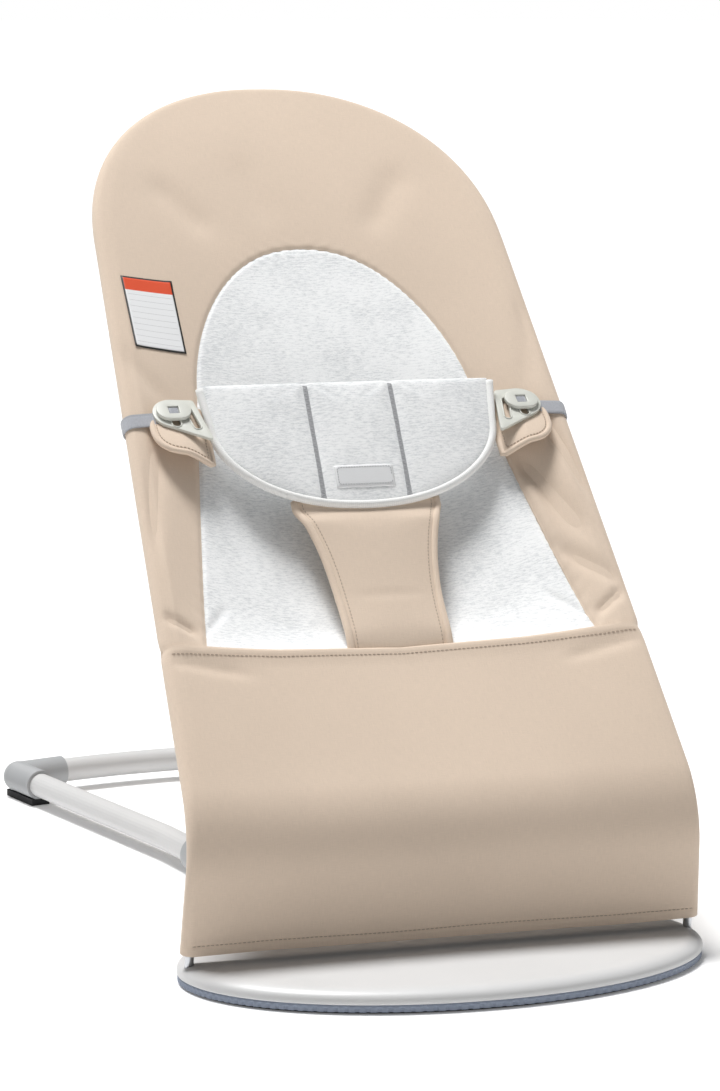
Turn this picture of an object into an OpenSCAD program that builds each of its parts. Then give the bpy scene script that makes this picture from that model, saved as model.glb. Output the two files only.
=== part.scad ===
// Baby bouncer seat: a fabric sling on a bent wire loop, hinged in a flat oval front plate,
// held up by a folding brace on a tubular floor frame. Millimetres, +Z up, front towards -Y,
// origin on the floor under the middle of the whole object.

/* [Floor frame] */
// Length on the floor, front of the plate to the rear of the cross tube
floor_len = 789; // [720:1:860]
// Distance between the rear corners, tube centre to tube centre
rear_span = 344; // [320:1:430]
// Outer diameter of the floor tubes
tube_d = 20; // [16:0.5:22]
// Wall of the floor tubes
tube_wall = 1.2; // [0.8:0.1:2]
// Height of the tube centres above the floor
tube_z = 17; // [16.5:0.5:20]
// How far the rear cross tube bows out behind its corners
rear_bow = 31; // [15:1:40]
// Toe-in of the rear stretch of each leg, degrees
leg_toe = 14; // [12:0.1:20]
// Length of the rear stretch of each leg, corner to bend
leg_rear_len = 270; // [230:1:300]
// Bend radius of the legs
leg_bend_r = 200; // [120:1:260]
// Half distance between the legs where they enter the plate sockets
leg_front_x = 66; // [55:1:80]

/* [Front plate] */
// Width of the oval plate
plate_w = 380; // [350:1:420]
// Depth of the oval plate, front to back
plate_d = 230; // [200:1:250]
// Height of the plate's top above the floor
plate_h = 16; // [16:0.5:20]
// Wall of the plate shell
plate_wall = 2.5; // [2:0.1:3]
// Width of the sloping rim round the top
plate_bevel = 13; // [8:1:20]
// Height of the grip strip round the plate's foot
strip_h = 5; // [4:0.5:6]

/* [Seat frame] */
// Diameter of the seat frame's wire
wire_d = 6.4; // [5:0.1:7]
// Height of the hinge axis above the floor
hinge_z = 8.2; // [8:0.1:9]
// Lean of the wire where it rises from the hinge, degrees from straight back
rise_lean = 98.7; // [92:0.1:104]
// Straight rise above the hinge
rise_len = 70; // [60:1:90]
// Radius of the lower bend
bend_r = 65; // [50:1:90]
// Turn of the lower bend, degrees
bend_turn = 53.2; // [48:0.1:56]
// Straight length of the backrest
back_len = 467; // [400:1:500]
// Radius of the gentle curve at the head end
head_r = 1200; // [900:10:2000]
// Length of the gentle curve at the head end
head_len = 201; // [185:1:215]
// Half width of the sling at the hinge
sling_w0 = 190.7; // [175:0.1:205]
// Narrowing of the half width for each millimetre of sling
sling_taper = 0.044; // [0.02:0.001:0.06]
// Length of the rounded head arch
arch_len = 171; // [150:1:200]
// Squareness of the head arch, 2 is an ellipse
arch_power = 2.15; // [2:0.05:2.6]

/* [Sling] */
// Radius of the padded edge round the wire
edge_r = 7; // [6.6:0.1:8]
// Thickness of one fabric layer
cloth_t = 2.6; // [2:0.1:3]
// Length along the sling where its lower hem starts
hem_s = 17; // [15:1:25]
// Length along the sling of the hip seam
seam_s = 247; // [230:1:265]
// Sag of the middle at the hip seam
seam_sag = 16; // [8:1:20]
// Deepest sag of the seat scoop
scoop_sag = 48; // [30:1:52]
// Distance over which the scoop deepens behind the seam
scoop_run = 28; // [20:1:60]
// Half width of the soft centre panel at the hip seam
panel_w0 = 146; // [130:1:150]
// Narrowing of the centre panel's half width for each millimetre
panel_taper = 0.161; // [0.1:0.005:0.17]
// Length along the sling where the centre panel's round top starts
panel_arch_s = 490; // [450:1:490]
// Length along the sling of the centre panel's apex
panel_top_s = 625; // [590:1:640]

/* [Restraint] */
// Half width of the waist band
band_w = 113; // [95:1:116]
// Lower end of the waist band along the sling
band_low_s = 371; // [360:1:385]
// Where the band's rounded lower edge reaches full width
band_round_s = 420; // [405:1:435]
// Upper edge of the waist band along the sling
band_top_s = 472; // [455:1:485]
// Thickness of the waist band
band_t = 12; // [8:0.5:14]
// Half width of the crotch panel at the hip seam
crotch_w0 = 38; // [30:1:50]
// Half width of the crotch panel below the waist band
crotch_w1 = 55; // [45:1:65]
// Distance of each side clip from the middle
clip_x = 135; // [131:0.5:137]
// Length along the sling of the side clips
clip_s = 452; // [440:1:462]
// Lift of the clip's back face above the sling's edge plane
clip_lift = 8.6; // [8:0.1:12]
// Tilt of the clips away from the sling, degrees
clip_tilt = 12; // [5:1:15]
// Diameter of the toggle disc
toggle_d = 26; // [22:0.5:27]
// Travel of the toggle along its slot
toggle_travel = 8; // [5:0.5:8]
// Width of the side webbing
webbing_w = 12; // [8:0.5:16]

/* [Brace] */
// Distance of the brace pivot behind the middle of the floor frame
brace_y = 20; // [10:1:30]
// Height of the brace pivot
brace_z = 32; // [32:0.5:36]
// Half distance between the brace arms at their pivots
brace_foot_x = 70; // [66:0.5:70]
// Half distance between the brace arms at the top bar
brace_top_x = 142; // [136:1:145]
// Length along the sling where the top bar rests
brace_s = 510; // [500:1:520]
// Distance of the top bar's centre behind the sling's edge plane
brace_gap = 38; // [36:0.5:42]
// Diameter of the brace rod
brace_d = 8; // [7:0.5:9]
// Spacing of the recline notches along the racks
notch_pitch = 35; // [30:1:40]

/* [Fits] */
// Radial clearance of turning fits
turn_gap = 0.06; // [0.04:0.01:0.1]
// Clearance between neighbouring fixed pieces
still_gap = 0.3; // [0.2:0.05:0.5]

/* [Hidden] */
$fn = 48;

// ---- places worked out from the sizes ----
plate_y = -floor_len / 2 + plate_d / 2;
hinge_y = plate_y + 0.5;
tube_r = tube_d / 2;
elbow_r = tube_r + 2.5;
bow_r = (pow(rear_span / 2, 2) + pow(rear_bow, 2)) / (2 * rear_bow);
corner_x = rear_span / 2;
corner_y = floor_len / 2 - rear_bow - elbow_r;
bow_half_deg = asin(corner_x / bow_r);
elbow_len = 42;
tube_inset = 10;
leg_bend = [corner_x - leg_rear_len * sin(leg_toe), corner_y - leg_rear_len * cos(leg_toe)];
socket_len = 44;
socket_y = plate_y + plate_d / 2 * sqrt(1 - pow(leg_front_x / (plate_w / 2), 2)) + 5;
leg_end = [leg_front_x, socket_y + 6];
leg_front_deg = atan2(leg_bend[0] - leg_end[0], leg_bend[1] - leg_end[1]);
leg_tangent = leg_bend_r * tan((leg_toe - leg_front_deg) / 2);
ceiling_z = plate_h - plate_wall;
strip_z = 1.5;
sole_h = 3;
bearing_x = 150;
wire_r = wire_d / 2;

// The sling's profile is a bent wire: a straight rise, a bend, a straight back and a gentle curve.
s1 = rise_len;
s2 = s1 + bend_r * bend_turn * PI / 180;
s3 = s2 + back_len;
top_s = s3 + head_len;
back_lean = rise_lean - bend_turn;
function heading(s) = s < s1 ? rise_lean
    : s < s2 ? rise_lean - (s - s1) / bend_r * 180 / PI
    : s < s3 ? back_lean : back_lean - (s - s3) / head_r * 180 / PI;
function along(a) = [cos(a), sin(a)];
function across(a) = [sin(a), -cos(a)];
p0 = [hinge_y, hinge_z];
p1 = p0 + s1 * along(rise_lean);
c1 = p1 + bend_r * across(rise_lean);
p2 = c1 - bend_r * across(back_lean);
p3 = p2 + back_len * along(back_lean);
c2 = p3 + head_r * across(back_lean);
function profile(s) = s < s1 ? p0 + s * along(rise_lean)
    : s < s2 ? c1 - bend_r * across(heading(s))
    : s < s3 ? p2 + (s - s2) * along(back_lean) : c2 - head_r * across(heading(s));
// A point x to the side, s along the sling and h in front of the plane of its edges
function on_sling(x, s, h) = let (p = profile(s) - h * across(heading(s))) [x, p[0], p[1]];

// ---- the tongue outlines of the sling and of its centre panel ----
function arch(t, power) = pow(max(0, 1 - pow(t, power)), 1 / power);
function tongue_w(s, w0, taper, s_arch, s_end, power) =
    (w0 - taper * s) * (s <= s_arch ? 1 : arch(min(1, (s - s_arch) / (s_end - s_arch)), power));
arch_s = top_s - arch_len;
function sling_w(s, inset = 0) =
    tongue_w(s, sling_w0 - inset, sling_taper, arch_s, top_s - inset, arch_power);
function panel_w(s) = tongue_w(s - seam_s, panel_w0, panel_taper, panel_arch_s - seam_s,
    panel_top_s - seam_s, 2.2);
// Distance in from the sling's outline
function edge_in(x, s) = s <= arch_s ? sling_w(s) - abs(x)
    : let (a = abs(x) / (sling_w0 - sling_taper * s), b = (s - arch_s) / arch_len,
           rho = max(0.001, pow(pow(a, arch_power) + pow(b, arch_power), 1 / arch_power)))
      (1 / rho - 1) * norm([x, s - arch_s]);
sag_margin = edge_r * 2;
function sag_depth(s) = s < seam_s ? seam_sag * max(0, s - hem_s) / (seam_s - hem_s)
    : let (e = exp(-(s - seam_s) / scoop_run))
      (seam_sag * e + scoop_sag * (1 - e)) * (top_s - s) / (top_s - seam_s);
function sag(x, s) = let (w = max(1, sling_w(s) - sag_margin))
    sag_depth(s) * max(0, 1 - pow(x / w, 2));
back_slack = edge_r - 2;
function back_sag(x, s) = max(0, sag(x, s) - back_slack);
inner_r = edge_r - cloth_t;
function round_h(d, r) = d >= edge_r ? r : sqrt(max(0, r * r - pow(edge_r - d, 2)));
function front_skin(x, s) = round_h(edge_in(x, s), edge_r) - sag(x, s);

// ---- general shapes ----
// A solid through rings of points; ring points run front left to right, then back right to left
module skin(rings) {
    n = len(rings[0]);
    m = len(rings);
    half = n / 2;
    points = [for (ring = rings) for (p = ring) p];
    last = (m - 1) * n;
    quads = concat([for (i = [0 : m - 2]) for (j = [0 : n - 1])
            let (k = (j + 1) % n) [i * n + j, (i + 1) * n + j, (i + 1) * n + k, i * n + k]],
        [for (j = [0 : half - 2]) [j, j + 1, n - 2 - j, n - 1 - j]],
        [for (j = [0 : half - 2]) [last + n - 1 - j, last + n - 2 - j, last + j + 1, last + j]]);
    polyhedron(points, [for (q = quads) each [[q[0], q[1], q[2]], [q[0], q[2], q[3]]]]);
}
// A round rod of radius r carried along points, with the direction to the front at each
module swept_rod(path, fronts, r, sides = 12) {
    last = len(path) - 1;
    skin([for (i = [0 : last])
        let (t = path[min(last, i + 1)] - path[max(0, i - 1)], dir = t / norm(t),
             f = fronts[i], u = cross(f, dir))
        [for (a = [0 : sides - 1]) let (q = 180 + 360 * (a + 0.5) / sides)
            path[i] + r * (cos(q) * u + sin(q) * f) * -1]]);
}
// An upright solid through ovals, each row giving an inset and a height
module oval_stack(rows, sides = 72) {
    skin([for (row = rows) [for (i = [0 : sides - 1]) let (a = 180 + 360 * (i + 0.5) / sides)
        [(plate_w / 2 - row[0]) * cos(a), plate_y + (plate_d / 2 - row[0]) * sin(a), row[1]]]]);
}
// Places its children in a frame on the sling: x to the side, y to the back, z up the sling
module at_sling(s, h = 0) {
    p = on_sling(0, s, h);
    translate(p) rotate([heading(s) - 90, 0, 0]) children();
}
module both_sides(side) {
    if (side < 0) mirror([1, 0, 0]) children();
    else children();
}
module x_rod(x0, x1, r) {
    translate([x0, 0, 0]) rotate([0, 90, 0]) cylinder(h = x1 - x0, r = r);
}

// ---- front plate ----
module base_plate() {
    slot_x = sling_w(0) - edge_r;
    color([0.80, 0.80, 0.80]) difference() {
        oval_stack([[0, strip_z + strip_h], [0, strip_z + strip_h + 2], [plate_bevel, plate_h]]);
        oval_stack([[plate_wall, 1], [plate_wall, strip_z + strip_h + 1.5],
            [plate_bevel, ceiling_z]]);
        for (side = [-1, 1]) {
            translate([side * slot_x - wire_r - 0.6, hinge_y - wire_r - 2, strip_z + strip_h - 1])
                cube([wire_d + 1.2, wire_d + 12, plate_h]);
            for (i = [0, 1]) translate([side * leg_front_x, screw_y(i), ceiling_z - 2])
                cylinder(h = plate_wall + 4, r = screw_r);
        }
    }
}
module plate_edge_strip() color([0.55, 0.60, 0.66]) difference() {
    oval_stack([[0.6, strip_z], [0.6, strip_z + strip_h]]);
    oval_stack([[plate_wall, strip_z - 1], [plate_wall, strip_z + strip_h + 1]]);
}
module plate_sole() color([0.12, 0.12, 0.12]) oval_stack([[plate_wall + 1.5, 0],
    [plate_wall + 0.5, 1.2], [plate_wall + 0.5, sole_h]]);
module hinge_bearing(side) both_sides(side) color([0.25, 0.25, 0.27]) difference() {
    translate([bearing_x - 12, hinge_y - 9, sole_h]) cube([24, 18, ceiling_z - sole_h]);
    translate([0, hinge_y, hinge_z]) x_rod(bearing_x - 13, bearing_x + 13, wire_r + turn_gap);
}

// ---- floor frame ----
screw_r = 2;
function screw_y(i) = socket_y - 18 - 18 * i;
module leg_socket(side) both_sides(side) color([0.62, 0.64, 0.66]) difference() {
    union() {
        translate([leg_front_x, socket_y, tube_z]) rotate([-90, 0, -leg_front_deg])
            cylinder(h = socket_len, r = tube_r + 3);
        translate([leg_front_x - 15, socket_y - 46, plate_h]) cube([30, 54, 4]);
    }
    translate([leg_end[0], leg_end[1], tube_z]) rotate([-90, 0, -leg_front_deg])
        cylinder(h = socket_len + 20, r = tube_r + 0.05);
    translate([leg_front_x - 30, socket_y - 60, -5]) cube([60, 60, plate_h + 5]);
    for (i = [0, 1]) translate([leg_front_x, screw_y(i), plate_h - 1])
        cylinder(h = 8, r = screw_r + 0.1);
}
module socket_screws() color([0.72, 0.72, 0.72])
    for (side = [-1, 1]) for (i = [0, 1]) translate([side * leg_front_x, screw_y(i), 0]) {
        translate([0, 0, ceiling_z - 1]) cylinder(h = plate_h + 5 - ceiling_z, r = screw_r - 0.05);
        difference() {
            translate([0, 0, plate_h + 4]) cylinder(h = 2.4, r = 4);
            translate([0, 0, plate_h + 5]) cylinder(h = 2, r = 1.6, $fn = 6);
        }
    }
module pipe_arc(radius, deg, r_out, r_in) rotate_extrude(angle = deg, $fn = 96)
    translate([radius, 0]) difference() {
        circle(r = r_out);
        circle(r = r_in);
    }
// The leg's centre line: straight from the socket, round the bend, straight to the corner elbow
bend_start = leg_bend - leg_tangent * [sin(leg_front_deg), cos(leg_front_deg)];
bend_centre = bend_start + leg_bend_r * [cos(leg_front_deg), -sin(leg_front_deg)];
function leg_path(extra) = concat([leg_end - extra * [sin(leg_front_deg), cos(leg_front_deg)]],
    [for (i = [0 : 6]) let (a = 180 - lerp(leg_front_deg, leg_toe, i / 6))
        bend_centre + leg_bend_r * [cos(a), sin(a)]],
    [[corner_x, corner_y] - (tube_inset - extra) * [sin(leg_toe), cos(leg_toe)]]);
module leg_rod(r, extra = 0) swept_rod([for (p = leg_path(extra)) [p[0], p[1], tube_z]],
    [for (p = leg_path(extra)) [0, 0, 1]], r, 24);
module floor_leg(side) both_sides(side) color([0.80, 0.81, 0.82]) difference() {
    leg_rod(tube_r);
    leg_rod(tube_r - tube_wall, 1);
}
module on_bow() translate([0, corner_y + rear_bow - bow_r, tube_z]) children();
module rear_cross_tube() color([0.80, 0.81, 0.82]) on_bow() {
    half = bow_half_deg - tube_inset / bow_r * 180 / PI;
    rotate([0, 0, 90 - half]) pipe_arc(bow_r, 2 * half, tube_r, tube_r - tube_wall);
}
module elbow_shape() {
    arm_deg = elbow_len / bow_r * 180 / PI;
    on_bow() rotate([0, 0, 90 - bow_half_deg]) rotate_extrude(angle = arm_deg, $fn = 96)
        translate([bow_r, 0]) circle(r = elbow_r);
    translate([corner_x, corner_y, tube_z]) {
        sphere(r = elbow_r + 0.5);
        rotate([90, 0, -leg_toe]) cylinder(h = elbow_len, r = elbow_r);
    }
}
module corner_elbow(side) both_sides(side) color([0.66, 0.68, 0.70]) difference() {
    elbow_shape();
    inset_deg = tube_inset / bow_r * 180 / PI;
    on_bow() rotate([0, 0, 90 - bow_half_deg + inset_deg]) rotate_extrude(angle = 8, $fn = 96)
        translate([bow_r, 0]) circle(r = tube_r + 0.05);
    translate([corner_x, corner_y, tube_z]) rotate([90, 0, -leg_toe]) translate([0, 0, tube_inset])
        cylinder(h = elbow_len, r = tube_r + 0.05);
    translate([corner_x - 80, corner_y - 80, -10]) cube([160, 160, 10 + pad_h]);
}
pad_h = 5.5;
pad_half = 8;
pad_leg = [-sin(leg_toe), -cos(leg_toe)];
pad_bow = [-cos(bow_half_deg), sin(bow_half_deg)];
pad_cos = pad_leg * pad_bow;
pad_sin = sqrt(1 - pad_cos * pad_cos);
pad_in = pad_half / pad_sin * (pad_leg + pad_bow);
pad_shift = pad_half * (1 + pad_cos) / pad_sin;
module foot_pad(side) both_sides(side) color([0.16, 0.16, 0.17]) translate([corner_x, corner_y, 0])
    linear_extrude(pad_h) polygon([-pad_in + (elbow_len + pad_shift) * pad_leg, -pad_in,
        -pad_in + (elbow_len + pad_shift) * pad_bow, pad_in + (elbow_len - pad_shift) * pad_bow,
        pad_in, pad_in + (elbow_len - pad_shift) * pad_leg]);
bracket_len = 26;
ear_r = 11;
function leg_x_at(y) = leg_end[0] + (y - leg_end[1]) * tan(leg_front_deg);
ear_x = brace_foot_x + 9;
module brace_bracket(side) both_sides(side) color([0.62, 0.64, 0.66]) difference() {
    union() {
        translate([leg_x_at(brace_y), brace_y, tube_z]) rotate([-90, 0, -leg_front_deg])
            translate([0, 0, -bracket_len / 2]) cylinder(h = bracket_len, r = tube_r + 4);
        translate([0, brace_y, brace_z]) x_rod(ear_x, ear_x + 12, ear_r);
        translate([ear_x, brace_y - ear_r, tube_z - 4]) cube([12, 2 * ear_r, brace_z - tube_z + 4]);
    }
    translate([leg_x_at(brace_y), brace_y, tube_z]) rotate([-90, 0, -leg_front_deg])
        translate([0, 0, -bracket_len]) cylinder(h = 2 * bracket_len, r = tube_r + 0.05);
    translate([0, brace_y, brace_z]) x_rod(ear_x - 1, ear_x + 10.4, brace_pin_r + turn_gap);
}

// ---- seat frame ----
module hinge_rod() color([0.78, 0.78, 0.78]) translate([0, hinge_y, hinge_z])
    x_rod(edge_r - sling_w(0), sling_w(0) - edge_r, wire_r);
wire_rows = concat([-wire_r], [for (i = [0 : 2]) s1 * (i + 0.5) / 3],
    [for (i = [0 : 5]) s1 + (s2 - s1) * i / 5], [for (i = [1 : 5]) s2 + (arch_s - s2) * i / 5]);
arch_steps = 14;
// Half of the outline from the hem up to the middle of the head, as [half width, s]
function outline_half(rows, inset) = concat([for (s = rows) [sling_w(s, inset), s]],
    [for (i = [1 : arch_steps - 1]) let (a = 90 * i / arch_steps,
        s = arch_s + (arch_len - inset) * pow(sin(a), 2 / arch_power))
        [sling_w(s, inset), s]]);
module seat_frame_wire() color([0.78, 0.78, 0.78]) {
    half = outline_half(wire_rows, edge_r);
    n = len(half);
    flat = concat([for (p = half) [-p[0], p[1]]], [[0, top_s - edge_r]],
        [for (i = [1 : n]) half[n - i]]);
    swept_rod([for (p = flat) on_sling(p[0], p[1], 0)],
        [for (p = flat) on_sling(0, p[1], 1) - on_sling(0, p[1], 0)], wire_r);
}
rack_x = 112;
rack_w = 14;
rack_face = brace_gap - brace_d / 2 - 0.6;
rack_low = rack_face - 11;
rack_s0 = brace_s - 14;
rack_len = 2 * notch_pitch + 28;
rack_arms = [brace_s - 4, brace_s + 2 * notch_pitch + 2];
module rack_arm_shape(s, grow = 0) {
    wx = sling_w(s) - edge_r;
    polygon([[wx + 4.5 + grow, 0.5 - grow], [wx + 4.5 + grow, 8 + grow],
        [rack_x + rack_w, rack_face - 1], [rack_x + rack_w, rack_low],
        [rack_x + rack_w + 14, rack_low - 4 - grow], [wx - 12 - grow, 0.5 - grow]]);
}
module on_back() translate(on_sling(0, s2, 0)) rotate([back_lean - 90, 0, 0])
    translate([0, 0, -s2]) children();
module notch_rack(side) both_sides(side) color([0.35, 0.37, 0.40]) on_back() difference() {
    union() {
        translate([rack_x, rack_low, rack_s0]) cube([rack_w, rack_face - rack_low, rack_len]);
        for (s = rack_arms) translate([0, 0, s - 4]) linear_extrude(height = 8) rack_arm_shape(s);
    }
    for (i = [0 : 2]) translate([0, rack_face + brace_d / 2 - 2.5, brace_s + i * notch_pitch])
        x_rod(rack_x - 1, rack_x + rack_w + 1, brace_d / 2 + 0.5);
    for (s = rack_arms) translate([sling_w(s) - edge_r, 0, s]) rotate([0, atan(-sling_taper), 0])
        translate([0, 0, -8]) cylinder(h = 16, r = wire_r + 0.1);
}

// ---- sling ----
lower_rows = concat([hem_s], [for (i = [1 : 2]) hem_s + (s1 - hem_s) * i / 3],
    [for (i = [0 : 5]) s1 + (s2 - s1) * i / 5], [for (i = [1 : 3]) s2 + (seam_s - s2) * i / 3]);
upper_rows = [for (i = [0 : 9]) seam_s + (arch_s - seam_s) * pow(i / 9, 1.4)];
edge_steps = [0, 0.6, 2.2, 4.6, edge_r, sag_margin, 40, 80, 125];
// One row of sample places across the sling, the same fractions of the width for every row
across_v = let (w = sling_w0) concat([for (d = edge_steps) d / w - 1], [0],
    [for (i = [1 : len(edge_steps)]) 1 - edge_steps[len(edge_steps) - i] / w]);
function back_ring(p_out, p_in) = concat(
    [for (v = across_v) let (x = v * p_in[0], s = p_in[1])
        on_sling(x, s, -round_h(max(cloth_t, edge_in(x, s)), inner_r) - back_sag(x, s))],
    [for (i = [1 : len(across_v)]) let (x = across_v[len(across_v) - i] * p_out[0], s = p_out[1])
        on_sling(x, s, -round_h(edge_in(x, s), edge_r) - back_sag(x, s))]);
function front_ring(s) = concat(
    [for (v = across_v) let (x = v * sling_w(s)) on_sling(x, s, front_skin(x, s))],
    [for (i = [1 : len(across_v)])
        let (x = across_v[len(across_v) - i] * sling_w(s, cloth_t))
        on_sling(x, s, round_h(max(cloth_t, edge_in(x, s)), inner_r) - sag(x, s))]);
module sling_lower_panel() color([0.80, 0.71, 0.60]) skin([for (s = lower_rows) front_ring(s)]);
module sling_back_panel() color([0.76, 0.67, 0.56]) difference() {
    rows = concat(lower_rows, [for (i = [1 : 9]) upper_rows[i]]);
    outer = outline_half(rows, 0);
    inner = outline_half(rows, cloth_t);
    skin([for (i = [0 : len(outer) - 1]) back_ring(outer[i], inner[i])]);
    for (side = [-1, 1]) both_sides(side) on_back() for (s = rack_arms)
        translate([0, 0, s - 4 - still_gap]) linear_extrude(height = 8 + 2 * still_gap)
            rack_arm_shape(s, 2 * still_gap);
}
// The side cover runs as a strip round the centre panel, from the seam over the head and back
function lerp(a, b, t) = a + (b - a) * t;
panel_rows = [for (i = [0 : 9]) seam_s + (panel_arch_s - seam_s) * pow(i / 9, 1.4)];
function panel_arch(i) = let (a = 90 * i / arch_steps,
    s = panel_arch_s + (panel_top_s - panel_arch_s) * pow(sin(a), 2 / 2.2)) [panel_w(s), s];
panel_half = concat([for (s = panel_rows) [panel_w(s), s]],
    [for (i = [1 : arch_steps - 1]) panel_arch(i)]);
function mirror_path(half, top) = concat([for (p = half) [-p[0], p[1]]], [top],
    [for (i = [1 : len(half)]) half[len(half) - i]]);
function strip_steps(reach) = [0, 0.6, 2.2, 4.6, edge_r, sag_margin, lerp(sag_margin, reach, 0.5), reach];
function cover_ring(a, b, c) = let (reach = norm(c - a), dir = (c - a) / reach,
        steps = strip_steps(reach), n = len(steps), gap = norm(b - a))
    concat([for (d = steps) let (q = a + d * dir) on_sling(q[0], q[1], front_skin(q[0], q[1]))],
        [for (i = [1 : n]) let (d = max(gap, steps[n - i]), q = d <= gap ? b : a + d * dir)
            on_sling(q[0], q[1], (d <= gap ? 0 : round_h(max(cloth_t, edge_in(q[0], q[1])), inner_r))
                - sag(q[0], q[1]))]);
module sling_side_cover() color([0.87, 0.79, 0.70]) {
    outer = mirror_path(outline_half(upper_rows, 0), [0, top_s]);
    inset = mirror_path(outline_half(upper_rows, cloth_t), [0, top_s - cloth_t]);
    inner = mirror_path(panel_half, [0, panel_top_s]);
    skin([for (i = [0 : len(outer) - 1]) cover_ring(outer[i], inset[i], inner[i])]);
}
panel_v = [for (i = [-6 : 6]) sin(90 * i / 6)];
function patch_ring(s, x0, x1, lift0, lift1, vs) = concat(
    [for (v = vs) let (x = lerp(x0, x1, (v + 1) / 2)) on_sling(x, s, front_skin(x, s) + lift1)],
    [for (i = [1 : len(vs)]) let (x = lerp(x0, x1, (vs[len(vs) - i] + 1) / 2))
        on_sling(x, s, front_skin(x, s) + lift0)]);
module sling_centre_panel() color([0.93, 0.93, 0.92])
    skin([for (p = panel_half) patch_ring(p[1], -p[0], p[0], -cloth_t, 0, panel_v)]);
module care_label() color([0.94, 0.94, 0.93]) skin([for (i = [0 : 4])
    patch_ring(lerp(label_s[0], label_s[1], i / 4), -label_x[1], -label_x[0], still_gap,
        still_gap + 0.7, [-1, -0.5, 0, 0.5, 1])]);
label_s = [520, 588];
label_x = [110, 151];

// ---- restraint ----
function crotch_front(s) = -6 + 6 * max(0, (s - 293) / 64) - 3 * max(0, (s - 359) / 12);
function crotch_t(s) = lerp(3, 9, min(1, (s - seam_s) / 60));
function band_front(s) = s < 399 ? 7 * (s - band_low_s) / 28 : 7 + 13 * (s - 399) / 73;
band_low_w = band_w - 4;
// A pad ring: full thickness in the middle, thin at its side edges
function pad_ring(s, w, front, t) = let (rim = 2) concat(
    [for (v = panel_v) let (e = sqrt(max(0, 1 - pow(v, 6))))
        on_sling(v * w, s, front - (t - rim) / 2 * (1 - e))],
    [for (i = [1 : len(panel_v)]) let (v = panel_v[len(panel_v) - i], e = sqrt(max(0, 1 - pow(v, 6))))
        on_sling(v * w, s, front - t + (t - rim) / 2 * (1 - e))]);
module crotch_panel() color([0.82, 0.73, 0.62]) skin([for (i = [0 : 10])
    let (s = lerp(seam_s + 1, band_low_s - still_gap, i / 10))
    pad_ring(s, lerp(crotch_w0, crotch_w1, pow(i / 10, 3)), crotch_front(s), crotch_t(s))]);
module waist_band() color([0.94, 0.94, 0.93]) skin(concat(
    [for (i = [1 : 8]) let (a = 90 * i / 8, span = band_round_s - band_low_s,
        s = band_round_s - span * cos(a))
        pad_ring(s, band_low_w * sin(a), band_front(s), lerp(3, band_t, sin(a)))],
    [for (i = [1 : 5]) let (s = lerp(band_round_s, band_top_s, i / 5))
        pad_ring(s, lerp(band_low_w, band_w, i / 5), band_front(s), band_t * (i == 5 ? 0.5 : 1))]));
module band_patch() color([0.96, 0.96, 0.96]) on_back() {
    s = band_low_s + 14;
    h0 = 7;
    translate([-23, -h0, s]) rotate([12, 0, 0]) translate([0, -2.4, 0]) cube([46, 0.8, 18]);
}
module clip_frame(side, h = 0) both_sides(side) translate(on_sling(clip_x, clip_s, clip_lift))
    rotate([back_lean - 90 - clip_tilt, 0, 0]) rotate([90, 0, 0]) translate([0, 0, h]) children();
clip_t = 2.4;
slot_w = 6;
module clip_outline() hull() {
    circle(r = toggle_d / 2 + 2.5, $fn = 32);
    translate([-15, 11]) circle(r = 3, $fn = 32);
    translate([-22.5, -29]) circle(r = 1.5, $fn = 32);
}
module slot_shape(length, w) {
    translate([-w / 2, -length]) square([w, length]);
    circle(d = w, $fn = 32);
    translate([0, -length]) circle(d = w, $fn = 32);
}
module clip(side) color([0.84, 0.86, 0.83]) clip_frame(side) linear_extrude(height = clip_t)
    difference() {
        clip_outline();
        slot_shape(toggle_travel + 4.5, slot_w);
        translate([-12, 2]) rotate([0, 0, -9]) slot_shape(19, 4.5);
    }
module clip_tab(side) color([0.74, 0.63, 0.52]) clip_frame(side, -3 - still_gap)
    linear_extrude(height = 3) difference() {
        hull() {
            translate([5, -4]) circle(r = 12, $fn = 32);
            translate([7, -27]) circle(r = 10, $fn = 32);
            translate([-15, 11]) circle(r = 3, $fn = 32);
            translate([-20, -40]) circle(r = 2, $fn = 32);
        }
        slot_shape(toggle_travel + 4.5, slot_w + 2);
    }
module toggle(side) color([0.84, 0.86, 0.83]) clip_frame(side, clip_t) difference() {
    union() {
        translate([0, 0, still_gap]) linear_extrude(height = 3) hull() for (a = [-1, 1])
            translate([a * toggle_d / 8, 0]) circle(r = toggle_d * 3 / 8);
        translate([0, 0, -clip_t - 1]) cylinder(h = clip_t + 2, d = slot_w - 0.6);
    }
    translate([-4, -4, still_gap + 1.2]) cube([8, 8, 4]);
}
// Webbing: from behind the clip out over the padded edge and round to the back
module webbing(side) both_sides(side) color([0.62, 0.62, 0.65]) {
    s = clip_s - 4;
    w = sling_w(s) - edge_r;
    r_in = edge_r + still_gap + 0.6;
    r_out = r_in + 1.6;
    turn = [for (i = [0 : 12]) 90 - 15 * i];
    at_sling(s) translate([0, 0, -webbing_w / 2]) linear_extrude(height = webbing_w)
        polygon(concat([[clip_x + 18, -r_out - 0.8]], [for (a = turn) [w + r_out * cos(a), -r_out * sin(a)]],
            [[w - 12, r_out], [w - 12, r_in]],
            [for (i = [0 : 12]) let (a = turn[12 - i]) [w + r_in * cos(a), -r_in * sin(a)]],
            [[clip_x + 18, -r_in - 0.8]]));
}

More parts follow.
